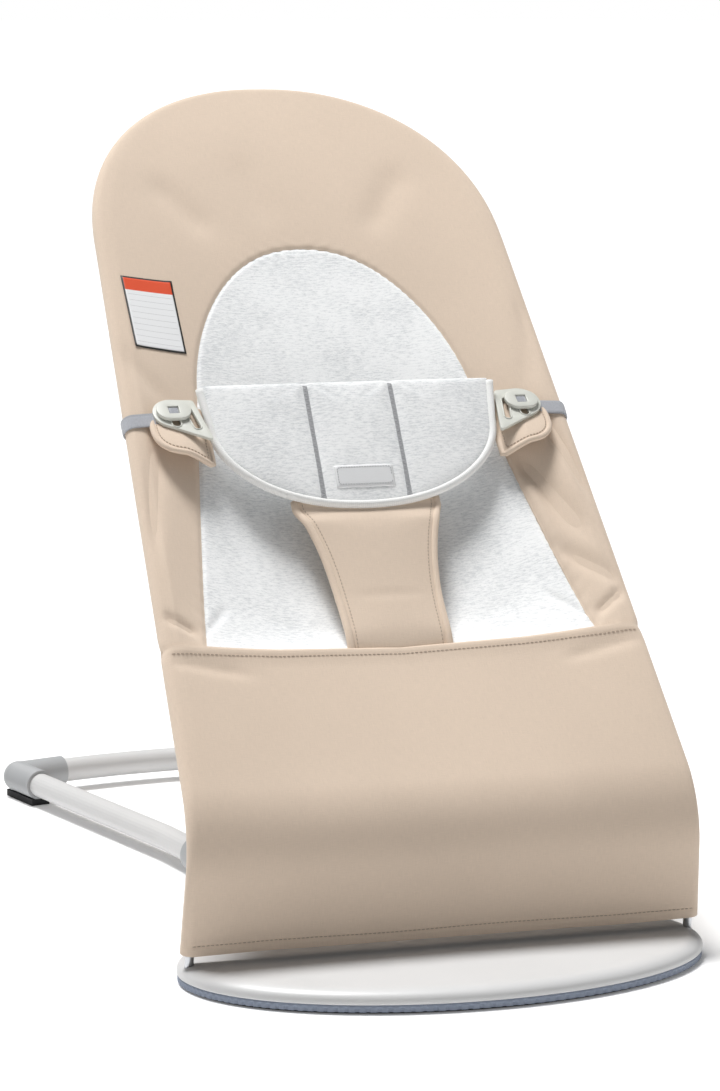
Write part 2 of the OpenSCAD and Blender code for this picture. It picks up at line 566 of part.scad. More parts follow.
// ---- brace ----
brace_pin_r = 4;
brace_top = on_sling(0, brace_s, -brace_gap);
arm_vector = [brace_top_x - brace_foot_x, brace_top[1] - brace_y, brace_top[2] - brace_z];
module brace_bow() color([0.80, 0.81, 0.82]) {
    translate(brace_top) x_rod(-brace_top_x, brace_top_x, brace_d / 2);
    for (side = [-1, 1]) both_sides(side) {
        translate([brace_top_x, brace_top[1], brace_top[2]]) sphere(d = brace_d + 0.8);
        translate([brace_foot_x, brace_y, brace_z])
            rotate([0, acos(arm_vector[2] / norm(arm_vector)), atan2(arm_vector[1], arm_vector[0])])
            translate([0, 0, 6]) cylinder(h = norm(arm_vector) - 6, d = brace_d);
    }
}
module brace_grip() color([0.30, 0.31, 0.33]) translate(brace_top) difference() {
    x_rod(-70, 70, brace_d / 2 + 2);
    x_rod(-71, 71, brace_d / 2);
}
module brace_hub(side) both_sides(side) color([0.45, 0.47, 0.50]) difference() {
    union() {
        translate([0, brace_y, brace_z]) {
            x_rod(brace_foot_x - 5, ear_x - still_gap, ear_r - 1);
            x_rod(ear_x - 1, ear_x + 10, brace_pin_r);
        }
        translate([brace_foot_x, brace_y, brace_z])
            rotate([0, acos(arm_vector[2] / norm(arm_vector)), atan2(arm_vector[1], arm_vector[0])])
            cylinder(h = 26, d = brace_d + 3);
    }
    translate([brace_foot_x, brace_y, brace_z])
        rotate([0, acos(arm_vector[2] / norm(arm_vector)), atan2(arm_vector[1], arm_vector[0])])
        translate([0, 0, 6]) cylinder(h = 30, d = brace_d);
}

base_plate();
plate_edge_strip();
plate_sole();
hinge_bearing(-1);  // hinge_bearing_left
hinge_bearing(1);  // hinge_bearing_right
leg_socket(-1);  // leg_socket_left
leg_socket(1);  // leg_socket_right
socket_screws();
floor_leg(-1);  // floor_leg_left
floor_leg(1);  // floor_leg_right
rear_cross_tube();
corner_elbow(-1);  // corner_elbow_left
corner_elbow(1);  // corner_elbow_right
foot_pad(-1);  // foot_pad_left
foot_pad(1);  // foot_pad_right
brace_bracket(-1);  // brace_bracket_left
brace_bracket(1);  // brace_bracket_right
hinge_rod();
seat_frame_wire();
notch_rack(-1);  // notch_rack_left
notch_rack(1);  // notch_rack_right
sling_side_cover();
sling_centre_panel();
sling_lower_panel();
sling_back_panel();
crotch_panel();
waist_band();
band_patch();
care_label();
clip(-1);  // clip_left
clip(1);  // clip_right
clip_tab(-1);  // clip_tab_left
clip_tab(1);  // clip_tab_right
webbing(-1);  // webbing_left
webbing(1);  // webbing_right
toggle(-1);  // toggle_left
toggle(1);  // toggle_right
brace_bow();
brace_grip();
brace_hub(-1);  // brace_hub_left
brace_hub(1);  // brace_hub_right
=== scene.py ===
"""Folding bouncer seat: fabric, plastics and metal over the frame of the part, one operator for each group."""
import math

import bmesh
import bpy
import numpy as np
from bpy.props import FloatProperty, FloatVectorProperty, PointerProperty
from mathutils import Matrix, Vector
from mathutils.bvhtree import BVHTree


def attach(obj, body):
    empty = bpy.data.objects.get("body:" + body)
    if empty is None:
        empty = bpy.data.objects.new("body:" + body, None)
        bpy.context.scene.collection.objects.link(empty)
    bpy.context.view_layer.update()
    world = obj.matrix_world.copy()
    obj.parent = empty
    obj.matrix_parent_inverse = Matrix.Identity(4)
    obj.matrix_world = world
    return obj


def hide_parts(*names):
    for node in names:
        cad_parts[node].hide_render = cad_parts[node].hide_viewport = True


bl_info = {
    "name": "Folding bouncer seat",
    "version": (1, 0, 0),
    "blender": (4, 5, 0),
    "location": "View3D > Sidebar > Bouncer",
    "description": "Builds the visible pieces of a folding bouncer seat over its frame",
    "category": "Add Mesh",
}

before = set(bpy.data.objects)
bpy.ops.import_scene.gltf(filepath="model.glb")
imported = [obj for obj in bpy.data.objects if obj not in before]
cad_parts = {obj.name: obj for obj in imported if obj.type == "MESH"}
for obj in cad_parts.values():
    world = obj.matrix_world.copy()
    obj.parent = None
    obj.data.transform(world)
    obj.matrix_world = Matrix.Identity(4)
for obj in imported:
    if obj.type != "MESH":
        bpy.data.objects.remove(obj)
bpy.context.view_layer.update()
MM = 0.001

# ---- the seat's side profile and outlines, in millimetres ----
HINGE = np.array([-279.0, 8.2])
RISE, BEND_R, BACK, HEAD_R, HEAD = 70.0, 65.0, 467.0, 1200.0, 201.0
LEAN_FRONT, TURN = math.radians(98.7), math.radians(53.2)
LEAN = LEAN_FRONT - TURN
S_BEND = RISE
S_BACK = S_BEND + BEND_R * TURN
S_HEAD = S_BACK + BACK
S_TOP = S_HEAD + HEAD
S_HEM, S_SEAM = 17.0, 247.0
SLING_W, SLING_TAPER, ARCH_LEN, ARCH_POWER = 190.7, 0.044, 171.0, 2.15
S_ARCH = S_TOP - ARCH_LEN
PANEL_W, PANEL_TAPER, PANEL_ARCH, PANEL_TOP, PANEL_POWER = 146.0, 0.161, 490.0, 625.0, 2.25
SEAM_SAG, SCOOP_SAG, SCOOP_RUN, SAG_MARGIN, BACK_SLACK = 16, 48, 28, 14, 5
EDGE_R, CLOTH = 7.0, 2.6
BAND_W, BAND_LOW, BAND_ROUND, BAND_TOP = 113.0, 371.0, 438.0, 472.0
CLIP = (135.0, 452.0, 8.6)
CLIP_TILT = math.radians(12)
BAND_SEAM = 33.0
PLATE = (190.0, 115.0, -279.5)
CREASE_DEPTH = 2.8
SIDES = ((-1, "left"), (1, "right"))


def along(a):
    """The direction of the profile at an angle from the floor, in the side plane."""
    return np.stack([np.cos(a), np.sin(a)], -1)


def across(a):
    """The direction square to the profile, towards the back."""
    return np.stack([np.sin(a), -np.cos(a)], -1)


P1 = HINGE + RISE * along(LEAN_FRONT)
C1 = P1 + BEND_R * across(LEAN_FRONT)
P2 = C1 - BEND_R * across(LEAN)
P3 = P2 + BACK * along(LEAN)
C2 = P3 + HEAD_R * across(LEAN)


def heading(s):
    """Angle of the profile: constant, then falling evenly round the bend, constant, then falling slowly."""
    return np.where(s < S_BEND, LEAN_FRONT, np.where(s < S_BACK, LEAN_FRONT - (s - S_BEND) / BEND_R,
                    np.where(s < S_HEAD, LEAN, LEAN - (s - S_HEAD) / HEAD_R)))


def on_sling(x, s, h):
    """Points x to the side, s along the profile and h in front of it, in metres."""
    x, s, h = np.broadcast_arrays(*(np.asarray(v, float) for v in (x, s, h)))
    a = heading(s)
    t = s[..., None]
    p = np.where(t < S_BEND, HINGE + t * along(LEAN_FRONT),
                 np.where(t < S_BACK, C1 - BEND_R * across(a),
                          np.where(t < S_HEAD, P2 + (t - S_BACK) * along(LEAN), C2 - HEAD_R * across(a))))
    p = p - h[..., None] * across(a)
    return np.concatenate([x[..., None], p], -1) * MM


def tongue(s, w0, taper, arch, end, power):
    """Half width of a tongue: a straight taper, closed by a superellipse of that power."""
    t = np.clip((s - arch) / (end - arch), 0, 1)
    return (w0 - taper * s) * (1 - t ** power) ** (1 / power)


def sling_w(s, inset=0.0):
    """Half width of the whole sling, nipped in a little where the lower panel is sewn on."""
    nip = 1.3 * np.exp(-((s - S_SEAM) / 4) ** 2)
    return tongue(s, SLING_W - inset, SLING_TAPER, S_ARCH, S_TOP - inset, ARCH_POWER) - nip


def panel_w(s):
    """Half width of the centre panel: a tongue above the hip seam."""
    return tongue(s - S_SEAM, PANEL_W, PANEL_TAPER, PANEL_ARCH - S_SEAM, PANEL_TOP - S_SEAM, PANEL_POWER)


def rim_distance(x, s, w, arch, span, power):
    """Distance in from a tongue's outline: to its side, or along the ray to the centre of its arch."""
    rho = ((np.abs(x) / w) ** power + (np.maximum(s - arch, 0) / span) ** power) ** (1 / power)
    ray = (1 / np.maximum(rho, 1e-3) - 1) * np.hypot(x, np.maximum(s - arch, 0))
    return np.where(s <= arch, w - np.abs(x), ray)


def edge_in(x, s):
    """Distance in from the sling's own outline."""
    w = np.where(s <= S_ARCH, sling_w(s), SLING_W - SLING_TAPER * s)
    return rim_distance(x, s, w, S_ARCH, ARCH_LEN, ARCH_POWER)


def seam_in(x, s):
    """Distance in from the centre panel's seam, negative outside it."""
    w = PANEL_W - PANEL_TAPER * (s - S_SEAM)
    return rim_distance(x, s, w, PANEL_ARCH, PANEL_TOP - PANEL_ARCH, PANEL_POWER)


def sag(x, s):
    """How far the cloth hangs behind the plane of its edges: a parabola across, deepest above the seam."""
    e = np.exp(-np.maximum(s - S_SEAM, 0) / SCOOP_RUN)
    low = SEAM_SAG * (s - S_HEM) / (S_SEAM - S_HEM)
    high = (SEAM_SAG * e + SCOOP_SAG * (1 - e)) * (S_TOP - s) / (S_TOP - S_SEAM)
    w = np.maximum(sling_w(s) - SAG_MARGIN, 1)
    return np.where(s < S_SEAM, low, high) * np.maximum(0, 1 - (x / w) ** 2)


def back_sag(x, s):
    """The back panel hangs less: it stays tight until the front has used up the slack."""
    return np.maximum(0, sag(x, s) - BACK_SLACK)


def front_h(x, s):
    """Height of the plain front skin: the rolled edge less the sag."""
    return round_h(edge_in(x, s), EDGE_R) - sag(x, s)


def round_h(d, r):
    """Height of the rolled edge: a quarter circle over the edge wire, then level."""
    return np.where(d >= EDGE_R, r, np.sqrt(np.maximum(0, r * r - (EDGE_R - d) ** 2)))


def bell(d, width):
    """A bell curve of height 1 that falls to 1/e at width."""
    return np.exp(-(d / width) ** 2)


def crease(x, s, a, b, depth, width):
    """A soft crease: a bell across the line from a to b, fading at both ends."""
    a, b = np.array(a, float), np.array(b, float)
    run = b - a
    t = ((x - a[0]) * run[0] + (s - a[1]) * run[1]) / (run @ run)
    off = ((x - a[0]) * run[1] - (s - a[1]) * run[0]) / np.linalg.norm(run)
    return depth * bell(off, width) * bell(np.maximum(0, np.abs(t - 0.5) - 0.25) / 0.25, 1)


CREASES = [((150, 448), (176, 352), 1.5, 5), ((126, 418), (160, 330), 1.3, 8), ((134, 330), (176, 282), 1.1, 7),
           ((128, 395), (140, 300), -1.0, 6), ((-150, 438), (-172, 330), 1.2, 7), ((-132, 470), (-170, 520), 0.8, 8),
           ((-150, 262), (-176, 276), 1.2, 4), ((150, 262), (176, 280), 1.2, 4), ((148, 470), (164, 560), 0.8, 8),
           ((-70, 640), (-108, 690), 0.9, 12), ((60, 640), (96, 700), 0.9, 13), ((-20, 650), (-34, 716), 0.5, 12)]


def cover_detail(x, s):
    """Cloth detail of the side cover: a sunk seam round the centre panel, puckers along it, and creases."""
    d = seam_in(x, s)
    pucker = np.sin(2 * np.pi * (s - 0.8 * np.abs(x)) / 13 + 1.5 * np.sin(s / 31))
    h = -1.3 * bell(d, 2.0) + 0.30 * bell(d, 10) * pucker
    for a, b, depth, width in CREASES:
        h = h - CREASE_DEPTH * crease(x, s, a, b, depth, width)
    return h * np.clip(edge_in(x, s) / 9, 0, 1)


def panel_detail(x, s):
    """Cloth detail of the jersey panel: its seam, finer puckers and two darts."""
    d = seam_in(x, s)
    h = -1.3 * bell(d, 2.0) + 0.35 * bell(d, 7) * np.sin(2 * np.pi * (s - 0.8 * np.abs(x)) / 9)
    for side in (-1, 1):
        h = h - crease(x, s, (side * 144, 262), (side * 122, 290), 1.6, 3)
        h = h - crease(x, s, (side * 60, 300), (side * 20, 270), 1.2, 9)
        h = h - crease(x, s, (side * 92, 290), (side * 50, 262), 0.9, 7)
    return h


def lower_detail(x, s):
    """Cloth detail of the lower panel: doubled hems with a sunk stitch line each, and slow waves."""
    top, low = S_SEAM + 2 - s, s - S_HEM
    h = 1.1 * (1 - np.clip((top - 8) / 3, 0, 1)) - 0.7 * bell(top - 7, 1.3)
    h = h + 0.9 * (1 - np.clip((low - 8) / 3, 0, 1)) - 0.7 * bell(low - 7, 1.3)
    h = h + 0.7 * np.sin(x / 52 + 1.3 * np.sin(s / 45)) * np.sin(np.pi * np.clip(low / 230, 0, 1))
    h = h + 0.25 * np.sin(x / 6.5 + np.sin(x / 17)) * (bell(top - 12, 7) + bell(low - 10, 6))
    for side in (-1, 1):
        h = h - crease(x, s, (side * 176, 236), (side * 118, 226), 1.6, 5)
    return h * np.clip(edge_in(x, s) / 8, 0, 1)


# ---- surfaces ----
def spread(n):
    """n fractions from 0 to 1, close together at both ends: half a cosine wave."""
    return (1 - np.cos(np.pi * np.linspace(0, 1, n))) / 2


def quads(rows, cols, wrap_rows=False, wrap_cols=False):
    """Faces of a grid, as an array of four corners each."""
    i = np.arange(rows if wrap_rows else rows - 1)[:, None]
    j = np.arange(cols if wrap_cols else cols - 1)[None, :]
    i2, j2 = (i + 1) % rows, (j + 1) % cols
    corners = np.broadcast_arrays(i * cols + j, i2 * cols + j, i2 * cols + j2, i * cols + j2)
    return np.stack(corners, -1).reshape(-1, 4)


def outward(points, faces):
    """The same faces, turned round if the solid they close has a negative volume."""
    p = points[faces]
    volume = (np.cross(p[:, 0], p[:, 1]) * p[:, 2]).sum() + (np.cross(p[:, 0], p[:, 2]) * p[:, 3]).sum()
    return faces if volume > 0 else faces[:, ::-1]


def make(name, points, faces, body, finish, uv=None, weld=None):
    """A finished piece: mesh, smooth shading, UV, material and body.

    weld is the distance within which points are merged, and 0 only turns the faces outward.
    """
    points = np.asarray(points, float).reshape(-1, 3)
    if isinstance(faces, np.ndarray):
        faces = outward(points, faces).tolist()
    mesh = bpy.data.meshes.new(name)
    mesh.from_pydata(points.tolist(), [], faces)
    if uv is not None:
        corner = np.zeros(len(mesh.loops), int)
        mesh.loops.foreach_get("vertex_index", corner)
        layer = mesh.uv_layers.new(name="cloth")
        layer.data.foreach_set("uv", np.asarray(uv, np.float32).reshape(-1, 2)[corner].ravel())
    if weld is not None:
        bm = bmesh.new()
        bm.from_mesh(mesh)
        if weld:
            bmesh.ops.remove_doubles(bm, verts=bm.verts, dist=weld)
        bmesh.ops.recalc_face_normals(bm, faces=bm.faces)
        bm.to_mesh(mesh)
        bm.free()
    mesh.polygons.foreach_set("use_smooth", np.ones(len(mesh.polygons), bool))
    mesh.update()
    piece = bpy.data.objects.new(name, mesh)
    bpy.context.scene.collection.objects.link(piece)
    piece.data.materials.append(finishes()[finish])
    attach(piece, body)
    return piece


def shell(front, back):
    """A closed sheet: a front grid, a back grid and the strip that joins their rims."""
    rows, cols = front.shape[:2]
    n, face = rows * cols, quads(rows, cols)
    g = np.arange(n).reshape(rows, cols)
    rim = np.concatenate([g[0, :-1], g[:-1, -1], g[-1, :0:-1], g[:0:-1, 0]])
    nxt = np.roll(rim, -1)
    strip = np.stack([rim, nxt, nxt + n, rim + n], -1)
    points = np.concatenate([front.reshape(-1, 3), back.reshape(-1, 3)])
    return points, np.concatenate([face, face[:, ::-1] + n, strip])


def sheet_piece(name, front, back, u, v, finish, body="seat", unit=MM):
    """A closed sheet made into a piece; u and v are its cloth coordinates."""
    points, faces = shell(front, back)
    uv = np.stack([u, v], -1) * unit
    return make(name, points, faces, body, finish, np.concatenate([uv, uv]).reshape(-1, 2))


def grid_area(grid):
    """Area of a grid of points: the sum of the parallelograms at its corners."""
    down, right = grid[1:, :-1] - grid[:-1, :-1], grid[:-1, 1:] - grid[:-1, :-1]
    return float(np.linalg.norm(np.cross(down, right), axis=-1).sum())


def unit(v):
    return v / np.linalg.norm(v, axis=1, keepdims=True)


def facing(s):
    """The way to the front at each s, a millimetre long."""
    return on_sling(0, s, 1) - on_sling(0, s, 0)


def both_halves(w, s):
    """x and s up the left side of an outline and down the right."""
    return np.concatenate([-w, w[-2::-1]]), np.concatenate([s, s[-2::-1]])


def arc_length(path):
    """Running length at each point of a path: the sum of its steps."""
    return np.concatenate([[0], np.cumsum(np.linalg.norm(np.diff(path, axis=0), axis=1))])


def carry(path, front, profile, closed=False):
    """A profile of (side, front) offsets in metres carried along a path, square to it, with its ends closed."""
    ahead = np.roll(path, -1, 0) - np.roll(path, 1, 0)
    if not closed:
        ahead[0], ahead[-1] = path[1] - path[0], path[-1] - path[-2]
    t = unit(ahead)
    f = unit(front - (front * t).sum(1, keepdims=True) * t)
    side = np.cross(t, f)
    profile = np.asarray(profile, float)
    k = profile.shape[-2]
    prof = np.broadcast_to(profile, (len(path), k, 2))
    grid = path[:, None] + prof[..., :1] * side[:, None] + prof[..., 1:] * f[:, None]
    girth = arc_length(np.concatenate([prof[0], prof[0][:1]]))[:-1]
    uv = np.stack(np.broadcast_arrays(girth[None, :], arc_length(path)[:, None]), -1)
    four, fans = quads(len(path), k, closed, True), []
    points = grid.reshape(-1, 3)
    if not closed:
        n, last = len(points), (len(path) - 1) * k
        ring = [(j, (j + 1) % k) for j in range(k)]
        fans = [[n, j, j2] for j, j2 in ring] + [[n + 1, last + j2, last + j] for j, j2 in ring]
        points = np.concatenate([points, np.stack([path[0], path[-1]])])
        uv = np.concatenate([uv.reshape(-1, 2), [[0, 0], [0, 0]]])
    return points, four, fans, uv


def sweep(name, path, front, profile, body, finish, closed=False):
    """A piece made by carry; the ends are fans of triangles."""
    points, four, fans, uv = carry(np.asarray(path, float), np.asarray(front, float), profile, closed)
    turned = outward(points, four)
    if turned is four:
        fans = [f[::-1] for f in fans]
    return make(name, points, turned.tolist() + fans, body, finish, uv, weld=0)


def oval(a, b, sides=16, power=2.0):
    """A superellipse profile with half axes a to the side and b to the front, in metres."""
    t = 2 * np.pi * (np.arange(sides) + 0.5) / sides
    c, s = np.cos(t), np.sin(t)
    return np.stack([a * np.sign(c) * np.abs(c) ** (2 / power), b * np.sign(s) * np.abs(s) ** (2 / power)], -1)


def stitches(name, path, front, finish, pitch=3.2, length=2.4, radius=0.42, zigzag=0.0, slot=None):
    """A row of thread stitches: short spindles set along a path, turned from side to side where zigzag is given."""
    run = arc_length(path)
    n = max(2, int(run[-1] / (pitch * MM)))
    where = (np.arange(n) + 0.5) * run[-1] / n

    def at(place, values):
        return np.stack([np.interp(place, run, values[:, k]) for k in range(3)], -1)
    centre, ahead = at(where, path), at(where + 1e-3, path) - at(where - 1e-3, path)
    t = unit(ahead)
    f = at(where, front)
    f = unit(f - (f * t).sum(1, keepdims=True) * t)
    side = np.cross(t, f)
    lean = np.where(np.arange(n) % 2, zigzag, -zigzag)[:, None]
    t, side = t * np.cos(lean) + side * np.sin(lean), side * np.cos(lean) - t * np.sin(lean)
    u = np.array([-1.0, -0.72, 0.0, 0.72, 1.0])
    q = 2 * np.pi * np.arange(6) / 6
    r = radius * MM * np.sqrt(np.maximum(0.02, 1 - np.abs(u) ** 3))[:, None]
    a = np.broadcast_to((u * length * MM / 2)[:, None], (5, 6))
    points = centre[:, None, None]
    for size, way in ((a, t), (r * np.cos(q), side), (r * np.sin(q), f)):
        points = points + size[None, ..., None] * way[:, None, None]
    one = np.concatenate([quads(5, 6, False, True), [[0, 1, 2, 3], [0, 3, 4, 5], [27, 26, 25, 24], [29, 28, 27, 24]]])
    one = outward(points[0].reshape(-1, 3) - centre[0], one)
    faces = (one[None] + 30 * np.arange(n)[:, None, None]).reshape(-1, 4)
    return make(name, points, faces, "seat", finish)


def rounded_copy(node, name, body, finish, width):
    """A copy of a node with its loose triangles merged and its sharp edges rounded."""
    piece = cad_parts[node].copy()
    piece.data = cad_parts[node].data.copy()
    piece.name = name
    piece.parent = None
    bpy.context.scene.collection.objects.link(piece)
    bm = bmesh.new()
    bm.from_mesh(piece.data)
    bmesh.ops.remove_doubles(bm, verts=bm.verts, dist=2e-6)
    bmesh.ops.dissolve_limit(bm, angle_limit=math.radians(1.0), verts=bm.verts, edges=bm.edges)
    bmesh.ops.recalc_face_normals(bm, faces=bm.faces)
    sharp = [e for e in bm.edges if len(e.link_faces) == 2 and e.calc_face_angle(0) > math.radians(35)]
    bmesh.ops.bevel(bm, geom=sharp, offset=width * MM, segments=3, affect="EDGES", clamp_overlap=True,
                    profile=0.5)
    bmesh.ops.triangulate(bm, faces=[f for f in bm.faces if len(f.verts) > 4])
    for f in bm.faces:
        f.smooth = True
    bm.to_mesh(piece.data)
    bm.free()
    piece.data.set_sharp_from_angle(angle=math.radians(40))
    piece.data.materials.clear()
    piece.data.materials.append(finishes()[finish])
    for key in list(piece.keys()):
        if key.startswith("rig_"):
            del piece[key]
    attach(piece, body)
    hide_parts(node)
    return piece


def puff(piece, pins, pressure, cap, frames=20):
    """Blows a padded piece up with Cloth; pins hold its seams, and no point moves further than cap."""
    rest = np.array([v.co for v in piece.data.vertices])
    pinned = np.nonzero(np.tile(pins.ravel(), 2))[0].tolist()
    piece.vertex_groups.new(name="seams").add(pinned, 1.0, "REPLACE")
    cloth = piece.modifiers.new("puff", "CLOTH")
    cloth.settings.use_pressure = True
    cloth.settings.uniform_pressure_force = pressure
    cloth.settings.vertex_group_mass = "seams"
    cloth.settings.effector_weights.gravity = 0
    cloth.settings.tension_stiffness = cloth.settings.compression_stiffness = 12
    cloth.settings.bending_stiffness = 0.6
    cloth.settings.quality = 6
    cloth.point_cache.frame_start, cloth.point_cache.frame_end = 1, frames
    for i in range(1, frames + 1):
        bpy.context.scene.frame_set(i)
    seen = piece.evaluated_get(bpy.context.evaluated_depsgraph_get())
    moved = np.array([v.co for v in seen.data.vertices])
    piece.modifiers.remove(cloth)
    step = moved - rest
    far = np.linalg.norm(step, axis=1, keepdims=True)
    step *= np.minimum(1, cap * MM / np.maximum(far, 1e-9))
    piece.data.vertices.foreach_set("co", (rest + step).astype(np.float32).ravel())
    piece.data.update()
    bpy.context.scene.frame_set(1)


def finer(piece):
    """One level of subdivision, live on the piece."""
    piece.modifiers.new("finer", "SUBSURF").levels = 1
    piece.modifiers["finer"].render_levels = 1


def laid_on(piece, points, front, lift):
    """Points moved along front onto a piece's surface, and lifted off it by lift millimetres."""
    tree = BVHTree.FromObject(piece, bpy.context.evaluated_depsgraph_get())
    out = points.copy()
    for i, (p, f) in enumerate(zip(points, front)):
        hit = tree.ray_cast(Vector(p + f * 0.04), Vector(-f))[0]
        if hit is not None:
            out[i] = np.array(hit) + f * lift * MM
    return out


# ---- finishes ----
def srgb(r, g, b):
    """A display colour of 0 to 255 as a linear one."""
    c = np.array([r, g, b]) / 255
    return tuple(np.where(c <= 0.04045, c / 12.92, ((c + 0.055) / 1.055) ** 2.4).tolist())


class Tone:
    """A shader value; arithmetic on it adds Math nodes."""

    def __init__(self, finish, socket):
        self.finish, self.socket = finish, socket

    def _math(self, operation, *values):
        return self.finish.node("ShaderNodeMath", {"operation": operation}, dict(enumerate(values)))

    def __add__(self, other):
        return self._math("ADD", self, other)

    def __sub__(self, other):
        return self._math("SUBTRACT", self, other)

    def __rsub__(self, other):
        return self._math("SUBTRACT", other, self)

    def __mul__(self, other):
        return self._math("MULTIPLY", self, other)

    def __truediv__(self, other):
        return self._math("DIVIDE", self, other)

    __radd__, __rmul__ = __add__, __mul__

    def wave(self):
        return self._math("SINE", self)

    def size(self):
        return self._math("ABSOLUTE", self)

    def above(self, limit):
        return self._math("GREATER_THAN", self, limit)

    def smooth(self, low, high):
        """0 below low, 1 above high, and a smooth step between."""
        return self.finish.node("ShaderNodeMapRange", {"interpolation_type": "SMOOTHSTEP"},
                                {"Value": self, "From Min": low, "From Max": high})

    def between(self, a, b):
        """A colour mixed from a, where this is 0, to b, where it is 1."""
        return self.finish.node("ShaderNodeMix", {"data_type": "RGBA"}, {0: self, 6: a, 7: b}, out=2)


class Finish:
    """A material and its one shader."""

    def __init__(self, name, **constants):
        self.material = bpy.data.materials.new(name)
        self.material.use_nodes = True
        self.tree = self.material.node_tree
        self.shader = self.tree.nodes["Principled BSDF"]
        for key, value in constants.items():
            self.feed(self.shader.inputs[key.replace("_", " ").title().replace("Ior", "IOR")], value)

    def feed(self, socket, value):
        if isinstance(value, Tone):
            self.tree.links.new(value.socket, socket)
        elif isinstance(value, tuple) and len(value) == 3 and socket.type == "RGBA":
            socket.default_value = (*value, 1.0)
        else:
            socket.default_value = value

    def node(self, kind, settings=None, feeds=None, out=0):
        n = self.tree.nodes.new(kind)
        for key, value in (settings or {}).items():
            setattr(n, key, value)
        for key, value in (feeds or {}).items():
            self.feed(n.inputs[key], value)
        return Tone(self, n.outputs[out])

    def place(self, kind="Object"):
        """Coordinates in metres: the object's own, or its UV."""
        n = self.tree.nodes.new("ShaderNodeTexCoord")
        return Tone(self, n.outputs[kind])

    def scaled(self, where, *scale):
        return self.node("ShaderNodeMapping", None, {"Vector": where, "Scale": scale})

    def noise(self, where, scale=1.0, detail=2.0, rough=0.5):
        return self.node("ShaderNodeTexNoise", None,
                         {"Vector": where, "Scale": scale, "Detail": detail, "Roughness": rough})

    def grain(self, where, u, v, detail=2.0, rough=0.5):
        """Noise stretched by its own scale along u and along v."""
        return self.noise(self.scaled(where, u, v, 1), 1.0, detail, rough)

    def axis(self, where, k):
        return self.node("ShaderNodeSeparateXYZ", None, {0: where}, out=k)

    def done(self, colour, roughness, height=None, strength=0.3, depth=0.0003, **more):
        self.feed(self.shader.inputs["Base Color"], colour)
        self.feed(self.shader.inputs["Roughness"], roughness)
        for key, value in more.items():
            self.feed(self.shader.inputs[key.replace("_", " ").title()], value)
        if height is not None:
            bump = self.node("ShaderNodeBump", None, {"Strength": strength, "Distance": depth, "Height": height})
            self.feed(self.shader.inputs["Normal"], bump)
        return self.material


def dyed(colour, factor):
    return tuple(min(1.0, c * factor) for c in colour)


def cotton(name, colour):
    """Plain-woven cotton: two crossed sets of uneven threads, with a slow change of shade."""
    f = Finish(name, sheen_weight=0.18, sheen_roughness=0.5)
    uv = f.place("UV")
    warp = f.grain(uv, 2400, 130, 2)
    weft = f.grain(uv, 150, 2400, 2)
    threads = warp * 0.5 + weft * 0.5
    slow = f.noise(f.place(), 9.0, 3)
    shade = (threads - 0.5) * 1.2 + (slow - 0.5) * 0.5 + 0.5
    f.feed(f.shader.inputs["Specular IOR Level"], 0.2)
    return f.done(shade.between(dyed(colour, 0.86), dyed(colour, 1.10)), slow * 0.1 + 0.82, threads, 0.35, 0.0004)


def jersey(name, colour, fleck):
    """Heathered jersey: short flecks of darker fibre, and fine ribs along the knit."""
    f = Finish(name, sheen_weight=0.25, sheen_roughness=0.6)
    f.feed(f.shader.inputs["Specular IOR Level"], 0.15)
    uv = f.place("UV")
    flecks = f.grain(uv, 170, 760, 4, 0.7)
    fine = f.grain(uv, 600, 2600, 2, 0.6)
    cloud = f.noise(f.place(), 24.0, 2)
    ribs = f.grain(uv, 1700, 160, 1)
    mask = (flecks * 0.75 + fine * 0.35 + (cloud - 0.5) * 0.25).smooth(0.46, 0.72)
    return f.done((mask * 0.7).between(colour, fleck), cloud * 0.08 + 0.86, ribs * 0.6 + fine * 0.4, 0.3, 0.0004)


def ribbing(name, colour):
    """Knitted binding tape: ribs across its length."""
    f = Finish(name, sheen_weight=0.3)
    uv = f.place("UV")
    ribs = (f.axis(uv, 1) * 4200.0).wave()
    grain = f.grain(uv, 900, 900, 2)
    return f.done((grain * 0.6 + ribs * 0.12).between(dyed(colour, 0.90), colour), grain * 0.1 + 0.8,
                  ribs * 0.5 + grain, 0.4, 0.0003)


def webbing_finish(name, colour, dark):
    """Woven webbing: slanted yarns, heathered, with darker selvedges."""
    f = Finish(name, sheen_weight=0.2)
    uv = f.place("UV")
    u, v = f.axis(uv, 0), f.axis(uv, 1)
    twill = (u * 5200.0 + v * 5200.0).wave()
    heather = f.grain(uv, 500, 900, 3, 0.7)
    edge = ((u - 0.0072).size() - 0.0046).smooth(0.0, 0.0010)
    shade = twill * 0.16 + heather * 0.75 + edge * 0.25
    return f.done(shade.between(colour, dark), heather * 0.1 + 0.75, twill + heather, 0.5, 0.0003)


def painted(name, colour, rough=0.42, grain=1400.0):
    """Powder coat: a fine orange peel and a slight change of gloss."""
    f = Finish(name)
    where = f.place()
    peel, slow = f.noise(where, grain, 2), f.noise(where, 14.0, 3)
    return f.done((slow * 0.6 + peel * 0.4).between(dyed(colour, 0.95), dyed(colour, 1.04)),
                  slow * 0.14 + (rough - 0.07), peel, 0.12, 0.0002)


def moulded(name, colour, rough=0.5, grain=2600.0, strength=0.15):
    """Moulded plastic or rubber: a spark-eroded grain, rubbed a little smoother in places."""
    f = Finish(name)
    where = f.place()
    spark, rub = f.noise(where, grain, 3), f.noise(where, 40.0, 2)
    return f.done((rub * 0.5 + spark * 0.5).between(dyed(colour, 0.9), dyed(colour, 1.08)),
                  (rough + 0.08) - rub * 0.16, spark, strength, 0.0002)


